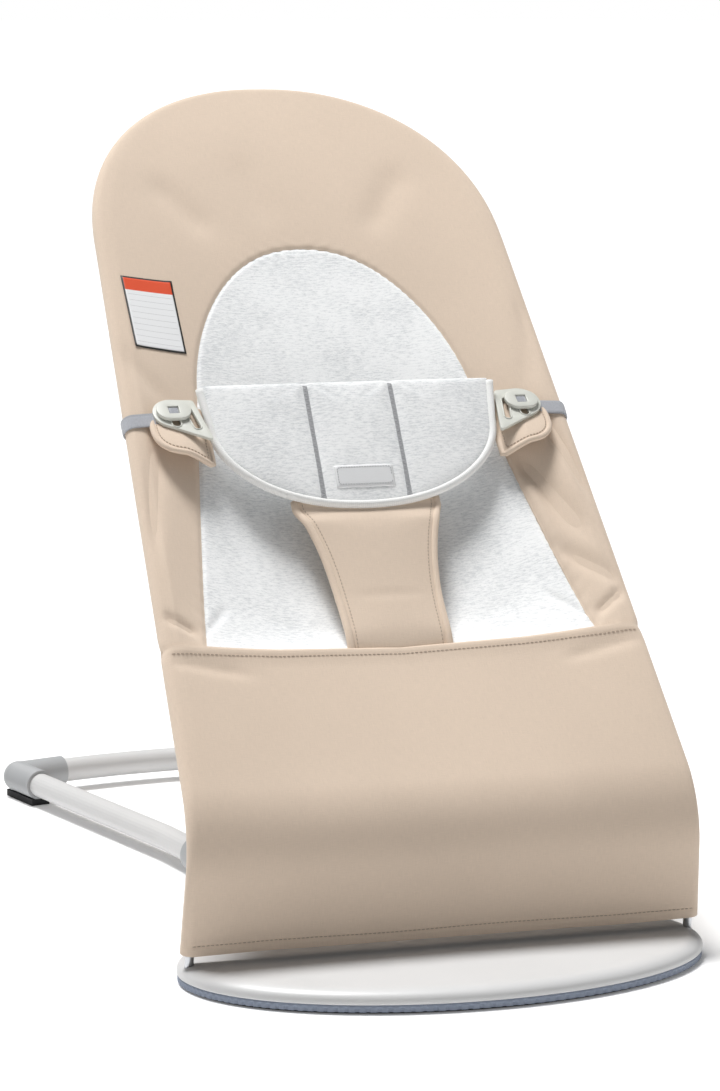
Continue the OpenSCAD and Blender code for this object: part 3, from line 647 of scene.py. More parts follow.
def drawn_wire(name, colour):
    """Zinc-plated wire: faint lines from drawing, and cloudy plating."""
    f = Finish(name, metallic=1.0)
    where = f.place()
    lines, cloud = f.noise(f.scaled(where, 2600, 2600, 60), 1.0, 2), f.noise(where, 60.0, 3)
    return f.done(cloud.between(dyed(colour, 0.8), colour), cloud * 0.2 + 0.22, lines, 0.15, 0.0001)


def satin(name, colour):
    """Satin tape: fine cross ribs and a soft gloss."""
    f = Finish(name, coat_weight=0.15, coat_roughness=0.35)
    uv = f.place("UV")
    ribs = (f.axis(uv, 1) * 7600.0).wave()
    grain = f.grain(uv, 300, 2600, 2)
    shade = ribs * 0.1 + grain * 0.8
    return f.done(shade.between(dyed(colour, 0.9), colour), grain * 0.15 + 0.38, ribs, 0.2, 0.0002)


def care_tape(name, paper, ink, band):
    """A care label with nothing written on it: an inked border, a coloured head and faint ruled lines."""
    f = Finish(name)
    uv = f.place("UV")
    u, v = f.axis(uv, 0), f.axis(uv, 1)
    weave = f.grain(uv, 1600, 1600, 2)
    in_u, in_v = 0.5 - (u - 0.5).size(), 0.5 - (v - 0.5).size()
    border = 1 - in_u.smooth(0.030, 0.040) * in_v.smooth(0.018, 0.024)
    head = v.smooth(0.805, 0.812)
    rule = ((v * (12.0 * math.pi)).wave().size() * -1 + 0.10).smooth(0.0, 0.06) * (1 - head) * in_u.smooth(0.06, 0.08)
    body = (weave * 0.5).between(paper, dyed(paper, 0.92))
    lined = (rule * 0.55).between(body, dyed(ink, 6.0))
    headed = head.between(lined, band)
    return f.done(border.between(headed, ink), weave * 0.1 + 0.5, weave, 0.2, 0.0002)


# ---- settings ----
def shade(name, description, *default):
    return FloatVectorProperty(name=name, description=description, subtype="COLOR", size=3, min=0, max=1,
                               default=srgb(*default))


def length(name, description, default, low, high):
    return FloatProperty(name=name, description=description, unit="LENGTH", default=default, min=low, max=high)


class BouncerColours(bpy.types.PropertyGroup):
    cotton: shade("Cotton", "Colour of the woven cotton", 219, 200, 181)
    jersey: shade("Jersey", "Colour of the jersey", 247, 248, 248)
    fleck: shade("Fleck", "Colour of the jersey's darker fibres", 190, 194, 197)
    plastic: shade("Plastic", "Colour of the clips", 203, 204, 196)
    paint: shade("Paint", "Colour of the plate and the tubes", 208, 208, 208)


class BouncerSizes(bpy.types.PropertyGroup):
    pressure: FloatProperty(name="Fill pressure", description="Pressure that swells the padded pieces",
                            default=4.0, min=0.5, max=10)
    swell: length("Swell", "Furthest that a padded surface may swell", 0.0035, 0, 0.01)
    binding: length("Binding", "Half width of the rolled binding", 0.0029, 0.001, 0.005)
    camera_distance: length("Camera distance", "From the camera to the seat", 2.612, 1, 10)


FINISHES = {}


def finishes():
    """Every material by name, made once from the colour settings."""
    if not FINISHES:
        c = bpy.context.scene.bouncer_colours
        FINISHES.update(
            cotton=cotton("beige_cotton", tuple(c.cotton)),
            thread=cotton("beige_thread", dyed(tuple(c.cotton), 0.66)),
            cotton_dark=cotton("beige_cotton_back", dyed(tuple(c.cotton), 0.92)),
            jersey=jersey("melange_jersey", tuple(c.jersey), tuple(c.fleck)),
            binding=ribbing("white_ribbing", srgb(246, 246, 244)),
            grey_thread=cotton("grey_thread", srgb(172, 173, 175)),
            tape=cotton("grey_tape", srgb(176, 177, 180)),
            satin=satin("white_satin", srgb(236, 237, 238)),
            label=care_tape("care_tape", srgb(238, 239, 240), srgb(40, 38, 38), srgb(224, 82, 44)),
            clip=moulded("clip_plastic", tuple(c.plastic), 0.42, 2200.0, 0.08),
            webbing=webbing_finish("grey_webbing", srgb(196, 198, 204), srgb(140, 143, 150)),
            plate=painted("plate_paint", tuple(c.paint), 0.40),
            tube=painted("painted_tube", tuple(c.paint), 0.36),
            strip=moulded("grip_strip", srgb(140, 149, 166), 0.7),
            rubber=moulded("black_rubber", srgb(34, 34, 36), 0.8, 1400.0, 0.4),
            grip=moulded("grip_rubber", srgb(58, 60, 62), 0.75, 1400.0, 0.4),
            dark=moulded("dark_plastic", srgb(84, 87, 92), 0.55),
            grey=moulded("grey_plastic", srgb(168, 170, 172), 0.5),
            steel=drawn_wire("steel_screws", srgb(196, 196, 196)),
            wire=drawn_wire("steel_wire", srgb(205, 207, 210)),
        )
    return FINISHES


def dress(node, finish):
    """Gives a frame node its material; its mesh is left alone."""
    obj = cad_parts[node]
    obj.data.materials.clear()
    obj.data.materials.append(finishes()[finish])


# ---- operators ----
class BouncerOperator:
    bl_options = {"REGISTER", "UNDO"}


class BOUNCER_OT_stage(BouncerOperator, bpy.types.Operator):
    """Pale floor, soft lights and the camera"""
    bl_idname = "bouncer.stage"
    bl_label = "Stage"

    def execute(self, context):
        scene = context.scene
        paper = Finish("studio_paper", emission_color=(1.0, 1.0, 1.0), emission_strength=0.12)
        grain = paper.noise(paper.place(), 160.0, 2)
        cover = paper.done((grain * 0.5).between(srgb(246, 246, 246), srgb(243, 243, 243)), 0.9)
        mesh = bpy.data.meshes.new("floor")
        mesh.from_pydata([(-60, -40, 0), (60, -40, 0), (60, 160, 0), (-60, 160, 0)], [], [(0, 1, 2, 3)])
        floor = bpy.data.objects.new("floor", mesh)
        mesh.materials.append(cover)
        scene.collection.objects.link(floor)
        for name, kind, place, size, power in (("key", "SUN", (-0.3, 0.55, 2.05), math.radians(20), 3.65),
                                               ("over", "AREA", (-0.25, 0.1, 1.75), 0.9, 3.6),
                                               ("side", "AREA", (2.6, -1.6, 1.9), 2.2, 4),
                                               ("rim", "AREA", (-2.4, 1.2, 1.6), 2.0, 2.5)):
            lamp = bpy.data.lights.new(name, kind)
            lamp.energy = power
            setattr(lamp, "angle" if kind == "SUN" else "size", size)
            obj = bpy.data.objects.new(name, lamp)
            obj.location = place
            aim = Vector((0, 0, 0.25 * (kind == "AREA")))
            obj.rotation_euler = (aim - Vector(place)).to_track_quat("-Z", "Y").to_euler()
            scene.collection.objects.link(obj)
        world = bpy.data.worlds.new("studio")
        world.use_nodes = True
        tree = world.node_tree
        soft, paper_white = tree.nodes["Background"], tree.nodes.new("ShaderNodeBackground")
        for light, strength in ((soft, 0.15), (paper_white, 1.0)):
            light.inputs["Color"].default_value = (1, 1, 1, 1)
            light.inputs["Strength"].default_value = strength
        rays, choice = tree.nodes.new("ShaderNodeLightPath"), tree.nodes.new("ShaderNodeMixShader")
        tree.links.new(rays.outputs["Is Camera Ray"], choice.inputs[0])
        tree.links.new(soft.outputs[0], choice.inputs[1])
        tree.links.new(paper_white.outputs[0], choice.inputs[2])
        tree.links.new(choice.outputs[0], tree.nodes["World Output"].inputs[0])
        scene.world = world
        scene.view_settings.view_transform = "Standard"
        azimuth, elevation = math.radians(-16.96), math.radians(8.5)
        back = Vector((math.sin(azimuth) * math.cos(elevation), -math.cos(azimuth) * math.cos(elevation),
                       math.sin(elevation)))
        camera = bpy.data.objects.new("camera", bpy.data.cameras.new("camera"))
        camera.data.sensor_width = 36
        camera.data.lens = 119.0
        camera.location = Vector((-0.018, -0.1395, 0.279)) + back * scene.bouncer_sizes.camera_distance
        camera.rotation_euler = (-back).to_track_quat("-Z", "Y").to_euler()
        scene.collection.objects.link(camera)
        scene.camera = camera
        return {"FINISHED"}


class BOUNCER_OT_front_plate(BouncerOperator, bpy.types.Operator):
    """Oval front plate with its rolled rim, notched strip and rubber sole"""
    bl_idname = "bouncer.front_plate"
    bl_label = "Front plate"

    def lathe(self, name, inset, z, sides, finish, notch=None):
        """A profile of insets and heights carried round the oval; notch changes the inset by angle and height."""
        q = 2 * np.pi * np.arange(sides) / sides
        inset, z, q = np.array(inset, float)[:, None], np.array(z, float)[:, None], q[None, :]
        if notch is not None:
            inset = inset + notch(q, z)
        across_x = np.maximum(PLATE[0] - inset, 0)
        across_y = np.maximum(PLATE[1] - inset * PLATE[1] / np.where(inset > 60, 190, 115), 0)
        grid = np.stack(np.broadcast_arrays(across_x * np.cos(q), PLATE[2] + across_y * np.sin(q), z), -1)
        faces = quads(grid.shape[0], sides, inset.max() <= 100, True)
        return make(name, grid * MM, faces, "base", finish, weld=1e-6)

    def execute(self, context):
        a = np.linspace(0, math.pi / 2, 9)
        rim_i, rim_z = 13 * (1 - np.sin(a)), 9.0 + 7.0 * np.sin(np.pi / 2 - a)
        rim = sorted(zip(rim_i, rim_z))
        i1 = [190, 150, 100, 60, 30, 16] + [p[0] for p in rim[::-1]] + [0, 0.15, 0.7]
        z1 = [16, 16, 16, 16, 16, 15.98] + [p[1] for p in rim[::-1]] + [7.4, 6.8, 6.5]
        i2, z2 = [2.2, 2.5, 3.5, 14, 30, 60, 100, 150, 190], [6.5, 7.5, 9.5, 13.5, 13.5, 13.5, 13.5, 13.5, 13.5]
        plate = self.lathe("front_plate", i1 + i2, z1 + z2, 240, "plate")
        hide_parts("base_plate")
        teeth = 150

        def notch(q, z):
            """Small upright notches along the lower half of the strip."""
            return 0.9 * (np.sin(teeth * q) > 0.45) * (z < 4.4) * (z > 1.0)
        strip = self.lathe("edge_strip", [2.4, 0.9, 0.55, 0.55, 0.55, 0.55, 0.9, 2.4],
                           [1.5, 1.5, 1.9, 2.4, 4.3, 4.6, 6.5, 6.5], teeth * 8, "strip", notch)
        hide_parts("plate_edge_strip")
        dress("plate_sole", "rubber")
        for side in ("left", "right"):
            dress(f"hinge_bearing_{side}", "dark")
        return {"FINISHED"}


class BOUNCER_OT_floor_frame(BouncerOperator, bpy.types.Operator):
    """Floor tubes, elbows, foot pads, sockets and brackets"""
    bl_idname = "bouncer.floor_frame"
    bl_label = "Floor frame"

    def execute(self, context):
        for side in ("left", "right"):
            dress(f"floor_leg_{side}", "tube")
            rounded_copy(f"corner_elbow_{side}", f"elbow_{side}", "base", "grey", 0.9)
            dress(f"foot_pad_{side}", "rubber")
            rounded_copy(f"leg_socket_{side}", f"socket_{side}", "base", "grey", 0.7)
            rounded_copy(f"brace_bracket_{side}", f"bracket_{side}", "base", "grey", 0.7)
        dress("rear_cross_tube", "tube")
        dress("socket_screws", "steel")
        return {"FINISHED"}


class BOUNCER_OT_seat_wire(BouncerOperator, bpy.types.Operator):
    """Bent spring wire round the seat, its hinge rod and the notch racks"""
    bl_idname = "bouncer.seat_wire"
    bl_label = "Seat wire"

    def execute(self, context):
        rows = np.concatenate([np.linspace(1, S_BEND, 8)[:-1], np.linspace(S_BEND, S_BACK, 14)[:-1],
                               np.linspace(S_BACK, S_ARCH, 30)[:-1]])
        a = np.linspace(0, math.pi / 2, 26)
        s = np.concatenate([rows, S_ARCH + (ARCH_LEN - EDGE_R) * np.sin(a) ** (2 / ARCH_POWER)])
        w = tongue(s, SLING_W - EDGE_R, SLING_TAPER, S_ARCH, S_TOP - EDGE_R, ARCH_POWER)
        x, s = both_halves(w, s)
        wire = sweep("seat_wire", on_sling(x, s, 0), facing(s), oval(3.2 * MM, 3.2 * MM, 16), "seat", "wire")
        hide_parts("seat_frame_wire")
        dress("hinge_rod", "wire")
        for side in ("left", "right"):
            rounded_copy(f"notch_rack_{side}", f"rack_{side}", "seat", "dark", 0.7)
        return {"FINISHED"}


def outline(upper_only):
    """Rows up the left side and over the head: the outline's half width and s, from the hem or from the seam."""
    t = np.linspace(0, 1, 64)
    low = S_SEAM if upper_only else S_HEM
    a = np.radians(np.linspace(0, 90, 52))[1:]
    s_out = np.concatenate([low + (S_ARCH - low) * t ** (1.4 if upper_only else 1),
                            S_ARCH + ARCH_LEN * np.sin(a) ** (2 / ARCH_POWER)])
    s_in = np.concatenate([S_SEAM + (PANEL_ARCH - S_SEAM) * t ** 1.4,
                           PANEL_ARCH + (PANEL_TOP - PANEL_ARCH) * np.sin(a) ** (2 / PANEL_POWER)])
    return s_out, s_in


class BOUNCER_OT_sling(BouncerOperator, bpy.types.Operator):
    """Sling: side cover, centre panel, lower panel and back panel"""
    bl_idname = "bouncer.sling"
    bl_label = "Sling"

    def side_cover(self):
        """Rows run from the rolled outer edge to the panel's seam; the row's ends follow the two outlines."""
        s_out, s_in = outline(True)
        w_out, w_in = sling_w(s_out), panel_w(s_in)
        a, b = np.stack(both_halves(w_out, s_out), -1), np.stack(both_halves(w_in, s_in), -1)
        f = spread(46)[None, :, None]
        reach = np.linalg.norm(b - a, axis=1)[:, None, None]
        q = a[:, None] + f * (b - a)[:, None]
        q2 = a[:, None] + np.maximum(f, CLOTH / reach) * (b - a)[:, None]
        x, s = q[..., 0], q[..., 1]
        front = on_sling(x, s, front_h(x, s) + cover_detail(x, s))
        x2, s2 = q2[..., 0], q2[..., 1]
        lining = round_h(np.maximum(CLOTH, edge_in(x2, s2)), EDGE_R - CLOTH)
        lining = np.where(f[..., 0] * reach[..., 0] <= CLOTH, 0, lining)
        back = on_sling(x2, s2, lining - sag(x2, s2))
        cover = sheet_piece("side_cover", front, back, x, s, "cotton")
        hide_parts("sling_side_cover")
        grid_area(front)

    def tongue_sheet(self, name, s, w, cols, skin, lining, finish, node):
        """A sheet whose rows have half width w at s; skin and lining give its two heights."""
        v = np.concatenate([-1 + spread(cols)[:cols // 2], [0], (1 - spread(cols)[:cols // 2])[::-1]])
        x = v[None] * np.maximum(w, 0.4)[:, None]
        s = np.broadcast_to(s[:, None], x.shape)
        front, back = skin(x, s), lining(x, s)
        piece = sheet_piece(name, front, back, x, s, finish)
        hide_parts(node)
        return piece, grid_area(front)

    def execute(self, context):
        self.side_cover()
        _, s_in = outline(True)
        panel, area = self.tongue_sheet(
            "centre_panel", s_in, panel_w(s_in), 90,
            lambda x, s: on_sling(x, s, EDGE_R - sag(x, s) + panel_detail(x, s)),
            lambda x, s: on_sling(x, s, EDGE_R - 2.8 - sag(x, s)), "jersey", "sling_centre_panel")
        s = np.concatenate([S_HEM + 16 * spread(22)[:12], np.linspace(S_HEM + 10, S_SEAM - 12, 70),
                            S_SEAM + 2 - 12 * spread(24)[::-1][12:]])
        s = np.unique(np.round(s, 3))

        def scallop(x, s):
            """The bottom hem waves a little."""
            return s + 0.6 * np.sin(x / 27) * bell(s - S_HEM, 12)

        def lower_front(x, s):
            return on_sling(x, scallop(x, s), front_h(x, s) + lower_detail(x, s))

        def lower_back(x, s):
            d = np.maximum(CLOTH, edge_in(x, s))
            squeeze = np.sign(x) * np.minimum(np.abs(x), sling_w(s) - CLOTH)
            return on_sling(squeeze, scallop(x, s), round_h(d, EDGE_R - CLOTH) - sag(x, s))
        lower, area = self.tongue_sheet("lower_panel", s, sling_w(s), 96, lower_front, lower_back, "cotton",
                                        "sling_lower_panel")
        s_all, _ = outline(False)

        def back_front(x, s):
            return on_sling(x, s, -round_h(edge_in(x, s), EDGE_R) - back_sag(x, s)
                            + 0.8 * bell(s - S_SEAM, 2))

        def back_inner(x, s):
            d = np.maximum(CLOTH, edge_in(x, s))
            squeeze = np.sign(x) * np.minimum(np.abs(x), np.maximum(sling_w(s) - CLOTH, 0.2))
            return on_sling(squeeze, np.minimum(s, S_TOP - CLOTH), -round_h(d, EDGE_R - CLOTH) - back_sag(x, s))
        back, area = self.tongue_sheet("back_panel", s_all, sling_w(s_all), 90, back_front, back_inner, "cotton_dark",
                                       "sling_back_panel")
        for name, row, inset in (("seam_stitches", S_SEAM - 5, 6), ("hem_stitches", S_HEM + 7, 6)):
            x = np.linspace(-1, 1, 160) * (sling_w(np.array(row)) - inset)
            s = np.full_like(x, row)
            h = front_h(x, s) + lower_detail(x, s) + 0.15
            normal = (on_sling(x, s, h + 1) - on_sling(x, s, h)) / MM
            stitches(name, laid_on(lower, on_sling(x, scallop(x, s), h), normal, 0.12), normal, "thread")
        return {"FINISHED"}


def pad_grid(s, w, front, t, cols, dip=None):
    """Front and back of a pad: full thickness in the middle, thin at its sides; dip sinks both along seams."""
    v = np.linspace(-1, 1, cols)
    e = np.sqrt(np.maximum(0, 1 - np.abs(v) ** 6))[None]
    x = v[None] * w[:, None]
    s2, f, t = (np.broadcast_to(q[:, None], x.shape) for q in (s, front, t))
    slim = np.minimum(2.0, t)
    sink = 0 if dip is None else dip(x, s2)
    top = f - (t - slim) / 2 * (1 - e) - sink
    low = f - t + (t - slim) / 2 * (1 - e) + 0.5 * sink
    return x, s2, on_sling(x, s2, top), on_sling(x, s2, low)


class BOUNCER_OT_crotch_panel(BouncerOperator, bpy.types.Operator):
    """Padded crotch panel with piped sides"""
    bl_idname = "bouncer.crotch_panel"
    bl_label = "Crotch panel"

    def execute(self, context):
        sizes = context.scene.bouncer_sizes
        s = np.linspace(S_SEAM - 1, BAND_LOW + 11, 40)
        u = np.clip((s - S_SEAM) / (BAND_LOW - S_SEAM), 0, 1)
        w = 37.5 + 17.5 * u ** 3
        front = -6 + 6 * np.maximum(0, (s - 293) / 64) - 4.4 * np.clip((s - 357) / 12, 0, 1)
        front = front - 4.2 * (1 - np.clip((s - S_SEAM) / 16, 0, 1)) ** 1.5
        t = 3 + 5 * np.clip((s - S_SEAM) / 60, 0, 1)
        x, s2, top, low = pad_grid(s, w, front, t, 37)
        panel = sheet_piece("crotch_panel_pad", top, low, x, s2, "cotton")
        row = np.arange(40)[:, None]
        edge = (np.abs(np.linspace(-1, 1, 37)) > 0.93)[None] | (row < 2) | (row > 37)
        puff(panel, edge, sizes.pressure, 2.2)
        finer(panel)
        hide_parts("crotch_panel")
        for side, hand in SIDES:
            k = slice(0, 39)
            path = on_sling(side * (w[k] - 0.6), s[k], front[k] - t[k] / 2 + 0.8)
            normal = facing(s[k])
            sweep(f"crotch_piping_{hand}", path, normal, oval(2.9 * MM, 2.6 * MM, 16), "seat", "cotton")
            inner = on_sling(side * (w[k] - 5.5), s[k], front[k])
            stitches(f"crotch_stitches_{hand}", laid_on(panel, inner, unit(normal), 0.1), normal, "thread",
                     3.0, 2.2, 0.36)
        return {"FINISHED"}


class BOUNCER_OT_waist_band(BouncerOperator, bpy.types.Operator):
    """Padded waist band with its rolled binding, two zigzag seams and a blank patch"""
    bl_idname = "bouncer.waist_band"
    bl_label = "Waist band"

    def execute(self, context):
        sizes = context.scene.bouncer_sizes
        span = BAND_ROUND - BAND_LOW
        a = np.linspace(0.06, math.pi / 2, 26)
        s = np.concatenate([BAND_ROUND - span * np.cos(a[:-1]), np.linspace(BAND_ROUND, BAND_TOP, 24)])
        w = np.concatenate([(BAND_W - 4) * np.sin(a[:-1]), np.linspace(BAND_W - 4, BAND_W, 24)])
        front = np.where(s < 399, 7 * (s - BAND_LOW) / 28, 7 + 13 * (s - 399) / 73)
        fade = np.sqrt(np.maximum(0.03, 1 - np.clip((s - BAND_TOP + 7) / 7, 0, 1) ** 2))
        t = (3 + 8.5 * np.clip((w / BAND_W) ** 1.1, 0, 1)) * np.maximum(fade, 0.25)
        front = front - (1 - fade) * 3.5

        def dip(x, s):
            return 2.4 * bell(np.abs(x) - BAND_SEAM, 2.6)
        x, s2, top, low = pad_grid(s, w - 1.5, front, t, 97, dip)
        band = sheet_piece("waist_band_pad", top, low, x, s2, "jersey")
        rows = np.arange(len(s))[:, None]
        held = (np.abs(x) > w[:, None] * 0.965) | (np.abs(np.abs(x) - BAND_SEAM) < 1.6) | (rows < 2)
        puff(band, held, sizes.pressure, sizes.swell / MM)
        finer(band)
        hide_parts("waist_band")
        b = np.linspace(0, math.pi / 2, 40)
        sx = np.concatenate([np.linspace(BAND_TOP - 2, BAND_ROUND, 12)[:-1], BAND_ROUND - span * np.sin(b)])
        wx = np.concatenate([np.linspace(BAND_W, BAND_W - 4, 12)[:-1], (BAND_W - 4) * np.cos(b)])
        px, ps = both_halves(wx, sx)
        ph = np.interp(ps, s, front - t / 2) + 0.5
        r = sizes.binding
        sweep("band_binding", on_sling(px, ps, ph), facing(ps), oval(r, r * 1.15, 18), "seat", "binding")
        seam_s = np.linspace(BAND_TOP - 3, BAND_LOW + 5, 60)
        normal = facing(seam_s)
        out = unit(normal)
        for side, hand in SIDES:
            seam = laid_on(band, on_sling(side * BAND_SEAM, seam_s, 12), out, 0.0)
            sweep(f"band_seam_tape_{hand}", seam, normal, oval(2.2 * MM, 0.5 * MM, 14, 3.0), "seat", "tape")
            seam = seam + out * 0.5 * MM
            stitches(f"band_zigzag_{hand}", seam, normal, "grey_thread", 2.1, 3.6, 0.3, zigzag=1.15)
        v, u = np.meshgrid(np.linspace(0, 1, 16), np.linspace(-1, 1, 26), indexing="ij")
        px, ps = u * 22.5, 383.5 + 17.0 * v
        flat = on_sling(px, ps, 10)
        n = np.broadcast_to(out[0], flat.reshape(-1, 3).shape)
        on = laid_on(band, flat.reshape(-1, 3), n, 0.0).reshape(flat.shape)
        on = on.mean(1, keepdims=True) * 0.5 * np.array([0, 1, 1]) + on * np.array([1, 0.5, 0.5])
        lift = (0.7 - 0.5 * (bell(1 - np.abs(u), 0.05) + bell(np.minimum(v, 1 - v), 0.08)))[..., None] * MM
        front, back = on + out[0] * (lift + 0.4 * MM), on - out[0] * 0.6 * MM
        patch = sheet_piece("band_patch_blank", front, back, px, ps, "satin")
        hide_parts("band_patch")
        q = np.linspace(0, 2 * np.pi, 97)[:-1]
        c, d = np.cos(q), np.sin(q)
        loop = on_sling(20.6 * np.sign(c) * np.abs(c) ** 0.16, 392.0 + 6.6 * np.sign(d) * np.abs(d) ** 0.16, 20)
        nn = np.broadcast_to(out[0], loop.shape)
        stitches("patch_stitches", laid_on(patch, loop, nn, 0.1), nn, "grey_thread", 2.0, 1.5, 0.3,
                 slot="white_satin")
        return {"FINISHED"}


def clip_place(side, a, b, c):
    """Points a outboard, b up the tilted clip and c in front of its back face, in metres."""
    o = on_sling(CLIP[0], CLIP[1], CLIP[2])
    q = LEAN - math.pi / 2 - CLIP_TILT
    up, out = np.array([0, -math.sin(q), math.cos(q)]), np.array([0, -math.cos(q), -math.sin(q)])
    a, b, c = np.broadcast_arrays(*(np.asarray(v, float)[..., None] for v in (a, b, c)))
    p = o + MM * (a * np.array([1.0, 0, 0]) + b * up + c * out)
    return p * np.array([side, 1, 1]), out * np.array([side, 1, 1])


def clip_line(side, a, b, c):
    """The points of clip_place with the way out of the clip at each."""
    path, out = clip_place(side, a, b, c)
    return path, np.broadcast_to(out, path.shape)


class BOUNCER_OT_clips(BouncerOperator, bpy.types.Operator):
    """Side clips with raised lips, toggles, cloth tabs and webbing"""
    bl_idname = "bouncer.clips"
    bl_label = "Clips"

    def lip(self, name, side, x, y, length, w, lean=0.0):
        """A thin raised lip round a slot: a small round profile carried round a stadium."""
        q = np.linspace(0, np.pi, 17)
        a = np.concatenate([w * np.cos(q), w * np.cos(q + np.pi)])
        b = np.concatenate([w * np.sin(q), w * np.sin(q + np.pi) - length])
        a, b = a * math.cos(lean) - b * math.sin(lean) + x, a * math.sin(lean) + b * math.cos(lean) + y
        sweep(name, *clip_line(side, a, b, 2.4), oval(0.55 * MM, 0.7 * MM, 8), "seat", "clip", closed=True)

    def execute(self, context):
        for side, hand in SIDES:
            rounded_copy(f"clip_{hand}", f"clip_plate_{hand}", "seat", "clip", 0.8)
            rounded_copy(f"toggle_{hand}", f"toggle_disc_{hand}", f"toggle_{hand}", "clip", 0.7)
            self.lip(f"slot_lip_{hand}", side, -12, 2, 19, 2.9, math.radians(-9))
            self.lip(f"short_lip_{hand}", side, 0, 0, 12.5, 3.6)
            self.window(side, hand)
            self.tab(side, hand)
            self.webbing(side, hand)
        return {"FINISHED"}

    def window(self, side, hand):
        """Woven square in the toggle's window: a flat slab whose rim drops by two short bells."""
        b, a = np.meshgrid(np.linspace(-3.6, 3.6, 12), np.linspace(-3.6, 3.6, 12), indexing="ij")
        top = 4.75 - 0.35 * (bell(3.6 - np.abs(a), 0.35) + bell(3.6 - np.abs(b), 0.35))
        front, back = clip_place(side, a, b, top)[0], clip_place(side, a, b, 3.95)[0]
        sheet_piece(f"toggle_window_{hand}", front, back, a, b, "webbing", f"toggle_{hand}")

    def tab(self, side, hand):
        """Cloth tab: an outline scaled from its centre, domed like a thin pillow, with piping round it."""
        q = np.linspace(0, 2 * np.pi, 121)[:-1]
        corners = [(17.5, -4), (17.5, -26), (9, -37), (-25, -44), (-21, 12), (4, 8.5)]
        centre = np.array([-2.0, -16.0])
        ray = np.stack([np.cos(q), np.sin(q)], -1)
        c = np.array(corners, float) - centre
        d = np.roll(c, -1, 0) - c
        n = np.stack([-d[:, 1], d[:, 0]], -1)
        n /= np.linalg.norm(n, axis=1, keepdims=True)
        n *= np.sign((n * c).sum(1))[:, None]
        reach = (c * n).sum(1) / np.maximum((ray[:, None] * n[None]).sum(-1), 1e-3)
        r = (reach ** -9.0).sum(1) ** (-1 / 9.0)
        ring = centre + r[:, None] * ray
        f = spread(15)[:, None] ** 0.6
        a = centre[0] + f * (ring[:, 0] - centre[0])[None]
        b = centre[1] + f * (ring[:, 1] - centre[1])[None]
        dome = 1.5 * np.sqrt(np.maximum(0, 1 - f ** 5)) + 0.25

        def twist(a, b):
            """The tab turns back towards the sling behind the band: a product of two slow ramps."""
            return -13.5 * np.clip((-a - 2) / 24, 0, 1) ** 1.3 * np.clip((-b + 4) / 46, 0, 1)
        front, _ = clip_place(side, a, b, -1.9 + dome + twist(a, b))
        back, _ = clip_place(side, a, b, -1.9 - dome + twist(a, b))
        grid = np.concatenate([front, back[::-1][1:]], 0)
        k = grid.shape[0]
        uv = np.stack([np.concatenate([a, a[::-1][1:]]), np.concatenate([b, b[::-1][1:]])], -1) * MM
        tab = make(f"clip_tab_cloth_{hand}", grid, quads(k, 120, False, True), "seat", "cotton", uv, weld=1e-6)
        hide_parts(f"clip_tab_{hand}")
        low = (ring[:, 1] < 7) & (ring[:, 0] > -23.5)
        order = np.argsort((q[low] + np.pi * 1.05) % (2 * np.pi))
        edge = ring[low][order]
        line = clip_line(side, *edge.T, -2.0 + twist(*edge.T))
        sweep(f"tab_piping_{hand}", *line, oval(2.3 * MM, 2.2 * MM, 14), "seat", "cotton")
        inner = centre + (edge - centre) * 0.86
        line = clip_line(side, *inner.T, -0.3 + twist(*inner.T))
        stitches(f"tab_stitches_{hand}", *line, "thread", 2.8, 2.0, 0.34)

    def webbing(self, side, hand):
        """A flat woven strap: from behind the clip out over the rolled edge and round to the back."""
        s = CLIP[1] - 4
        w = sling_w(np.array(s)) - EDGE_R
        q = np.linspace(math.pi / 2, -math.pi / 2, 26)
        r = EDGE_R + 1.1
        x = np.concatenate([np.linspace(CLIP[0] + 12, w, 8)[:-1], w + r * np.cos(q), np.linspace(w, w - 12, 8)[1:]])
        h = np.concatenate([np.linspace(r + 1.2, r, 8)[:-1], r * np.sin(q), np.full(7, -r)])
        path = on_sling(side * x, s, h)
        nx = np.concatenate([np.zeros(7), np.cos(q), np.zeros(7)])
        nh = np.concatenate([np.ones(7), np.sin(q), -np.ones(7)])
        front = on_sling(side * (x + nx), s, h + nh) - path
        strap = sweep(f"webbing_strap_{hand}", path, front, oval(6 * MM, 0.75 * MM, 28, 5.0), "seat", "webbing")
        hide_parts(f"webbing_{hand}")


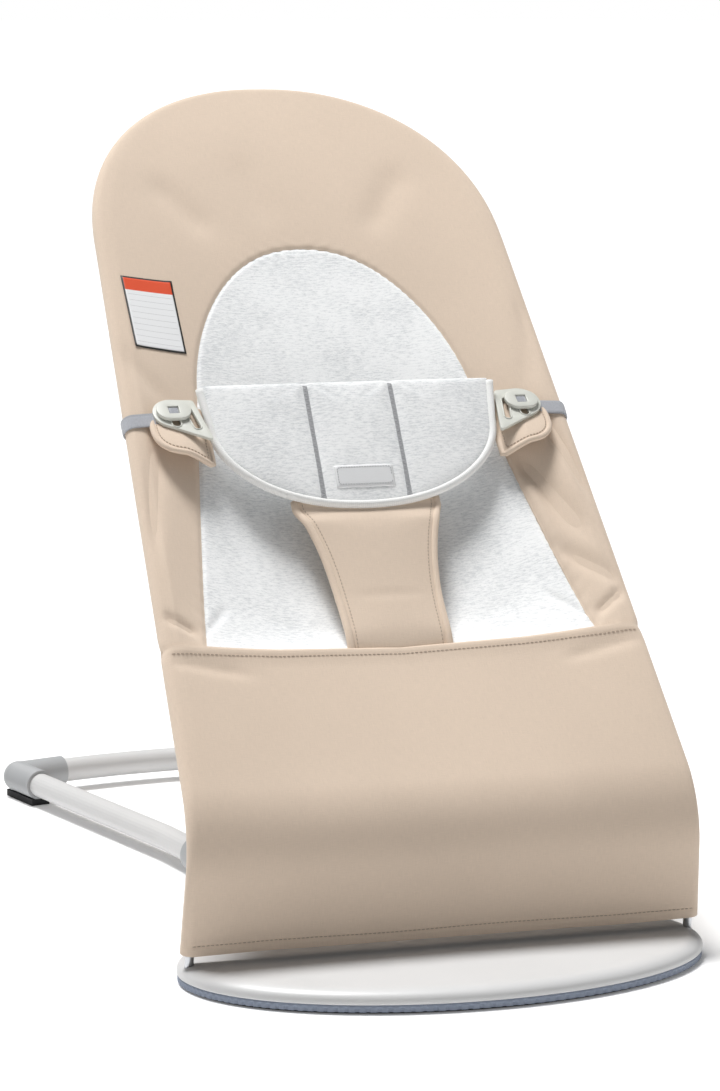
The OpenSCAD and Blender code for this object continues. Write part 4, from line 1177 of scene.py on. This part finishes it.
class BOUNCER_OT_care_label(BouncerOperator, bpy.types.Operator):
    """Blank care label on the side cover"""
    bl_idname = "bouncer.care_label"
    bl_label = "Care label"

    def execute(self, context):
        v, u = np.meshgrid(np.linspace(0, 1, 24), np.linspace(0, 1, 16), indexing="ij")
        x, s = -151.0 + 41.0 * u, 520.0 + 68.0 * v
        base = front_h(x, s) + cover_detail(x, s)
        curl = 0.5 * (bell(u, 0.08) * bell(v, 0.1) + bell(1 - u, 0.1) * bell(1 - v, 0.1))
        front, back = on_sling(x, s, base + 0.75 + curl), on_sling(x, s, base + 0.25 + curl)
        label = sheet_piece("care_label_blank", front, back, u, v, "label", unit=1)
        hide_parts("care_label")
        return {"FINISHED"}


class BOUNCER_OT_brace(BouncerOperator, bpy.types.Operator):
    """Folding brace behind the seat, its grip and hubs"""
    bl_idname = "bouncer.brace"
    bl_label = "Brace"

    def execute(self, context):
        dress("brace_bow", "tube")
        dress("brace_grip", "grip")
        for side in ("left", "right"):
            rounded_copy(f"brace_hub_{side}", f"hub_{side}", "brace", "dark", 0.6)
        return {"FINISHED"}


class BOUNCER_PT_panel(bpy.types.Panel):
    """Sizes, colours and one button for each group of pieces"""
    bl_label = "Bouncer seat"
    bl_idname = "BOUNCER_PT_panel"
    bl_space_type = "VIEW_3D"
    bl_region_type = "UI"
    bl_category = "Bouncer"

    def draw(self, context):
        for group in (context.scene.bouncer_sizes, context.scene.bouncer_colours):
            for key in group.__annotations__:
                self.layout.prop(group, key)
        for operator in OPERATORS:
            self.layout.operator(operator.bl_idname)


OPERATORS = (BOUNCER_OT_stage, BOUNCER_OT_front_plate, BOUNCER_OT_floor_frame, BOUNCER_OT_seat_wire,
             BOUNCER_OT_sling, BOUNCER_OT_crotch_panel, BOUNCER_OT_waist_band, BOUNCER_OT_clips,
             BOUNCER_OT_care_label, BOUNCER_OT_brace)
CLASSES = (BouncerColours, BouncerSizes, *OPERATORS, BOUNCER_PT_panel)


def register():
    for cls in CLASSES:
        bpy.utils.register_class(cls)
    bpy.types.Scene.bouncer_colours = PointerProperty(type=BouncerColours)
    bpy.types.Scene.bouncer_sizes = PointerProperty(type=BouncerSizes)


def unregister():
    del bpy.types.Scene.bouncer_sizes
    del bpy.types.Scene.bouncer_colours
    for cls in reversed(CLASSES):
        bpy.utils.unregister_class(cls)


def main():
    register()
    for operator in OPERATORS:
        getattr(bpy.ops.bouncer, operator.bl_idname.split(".")[1])()


if __name__ == "__main__":
    main()
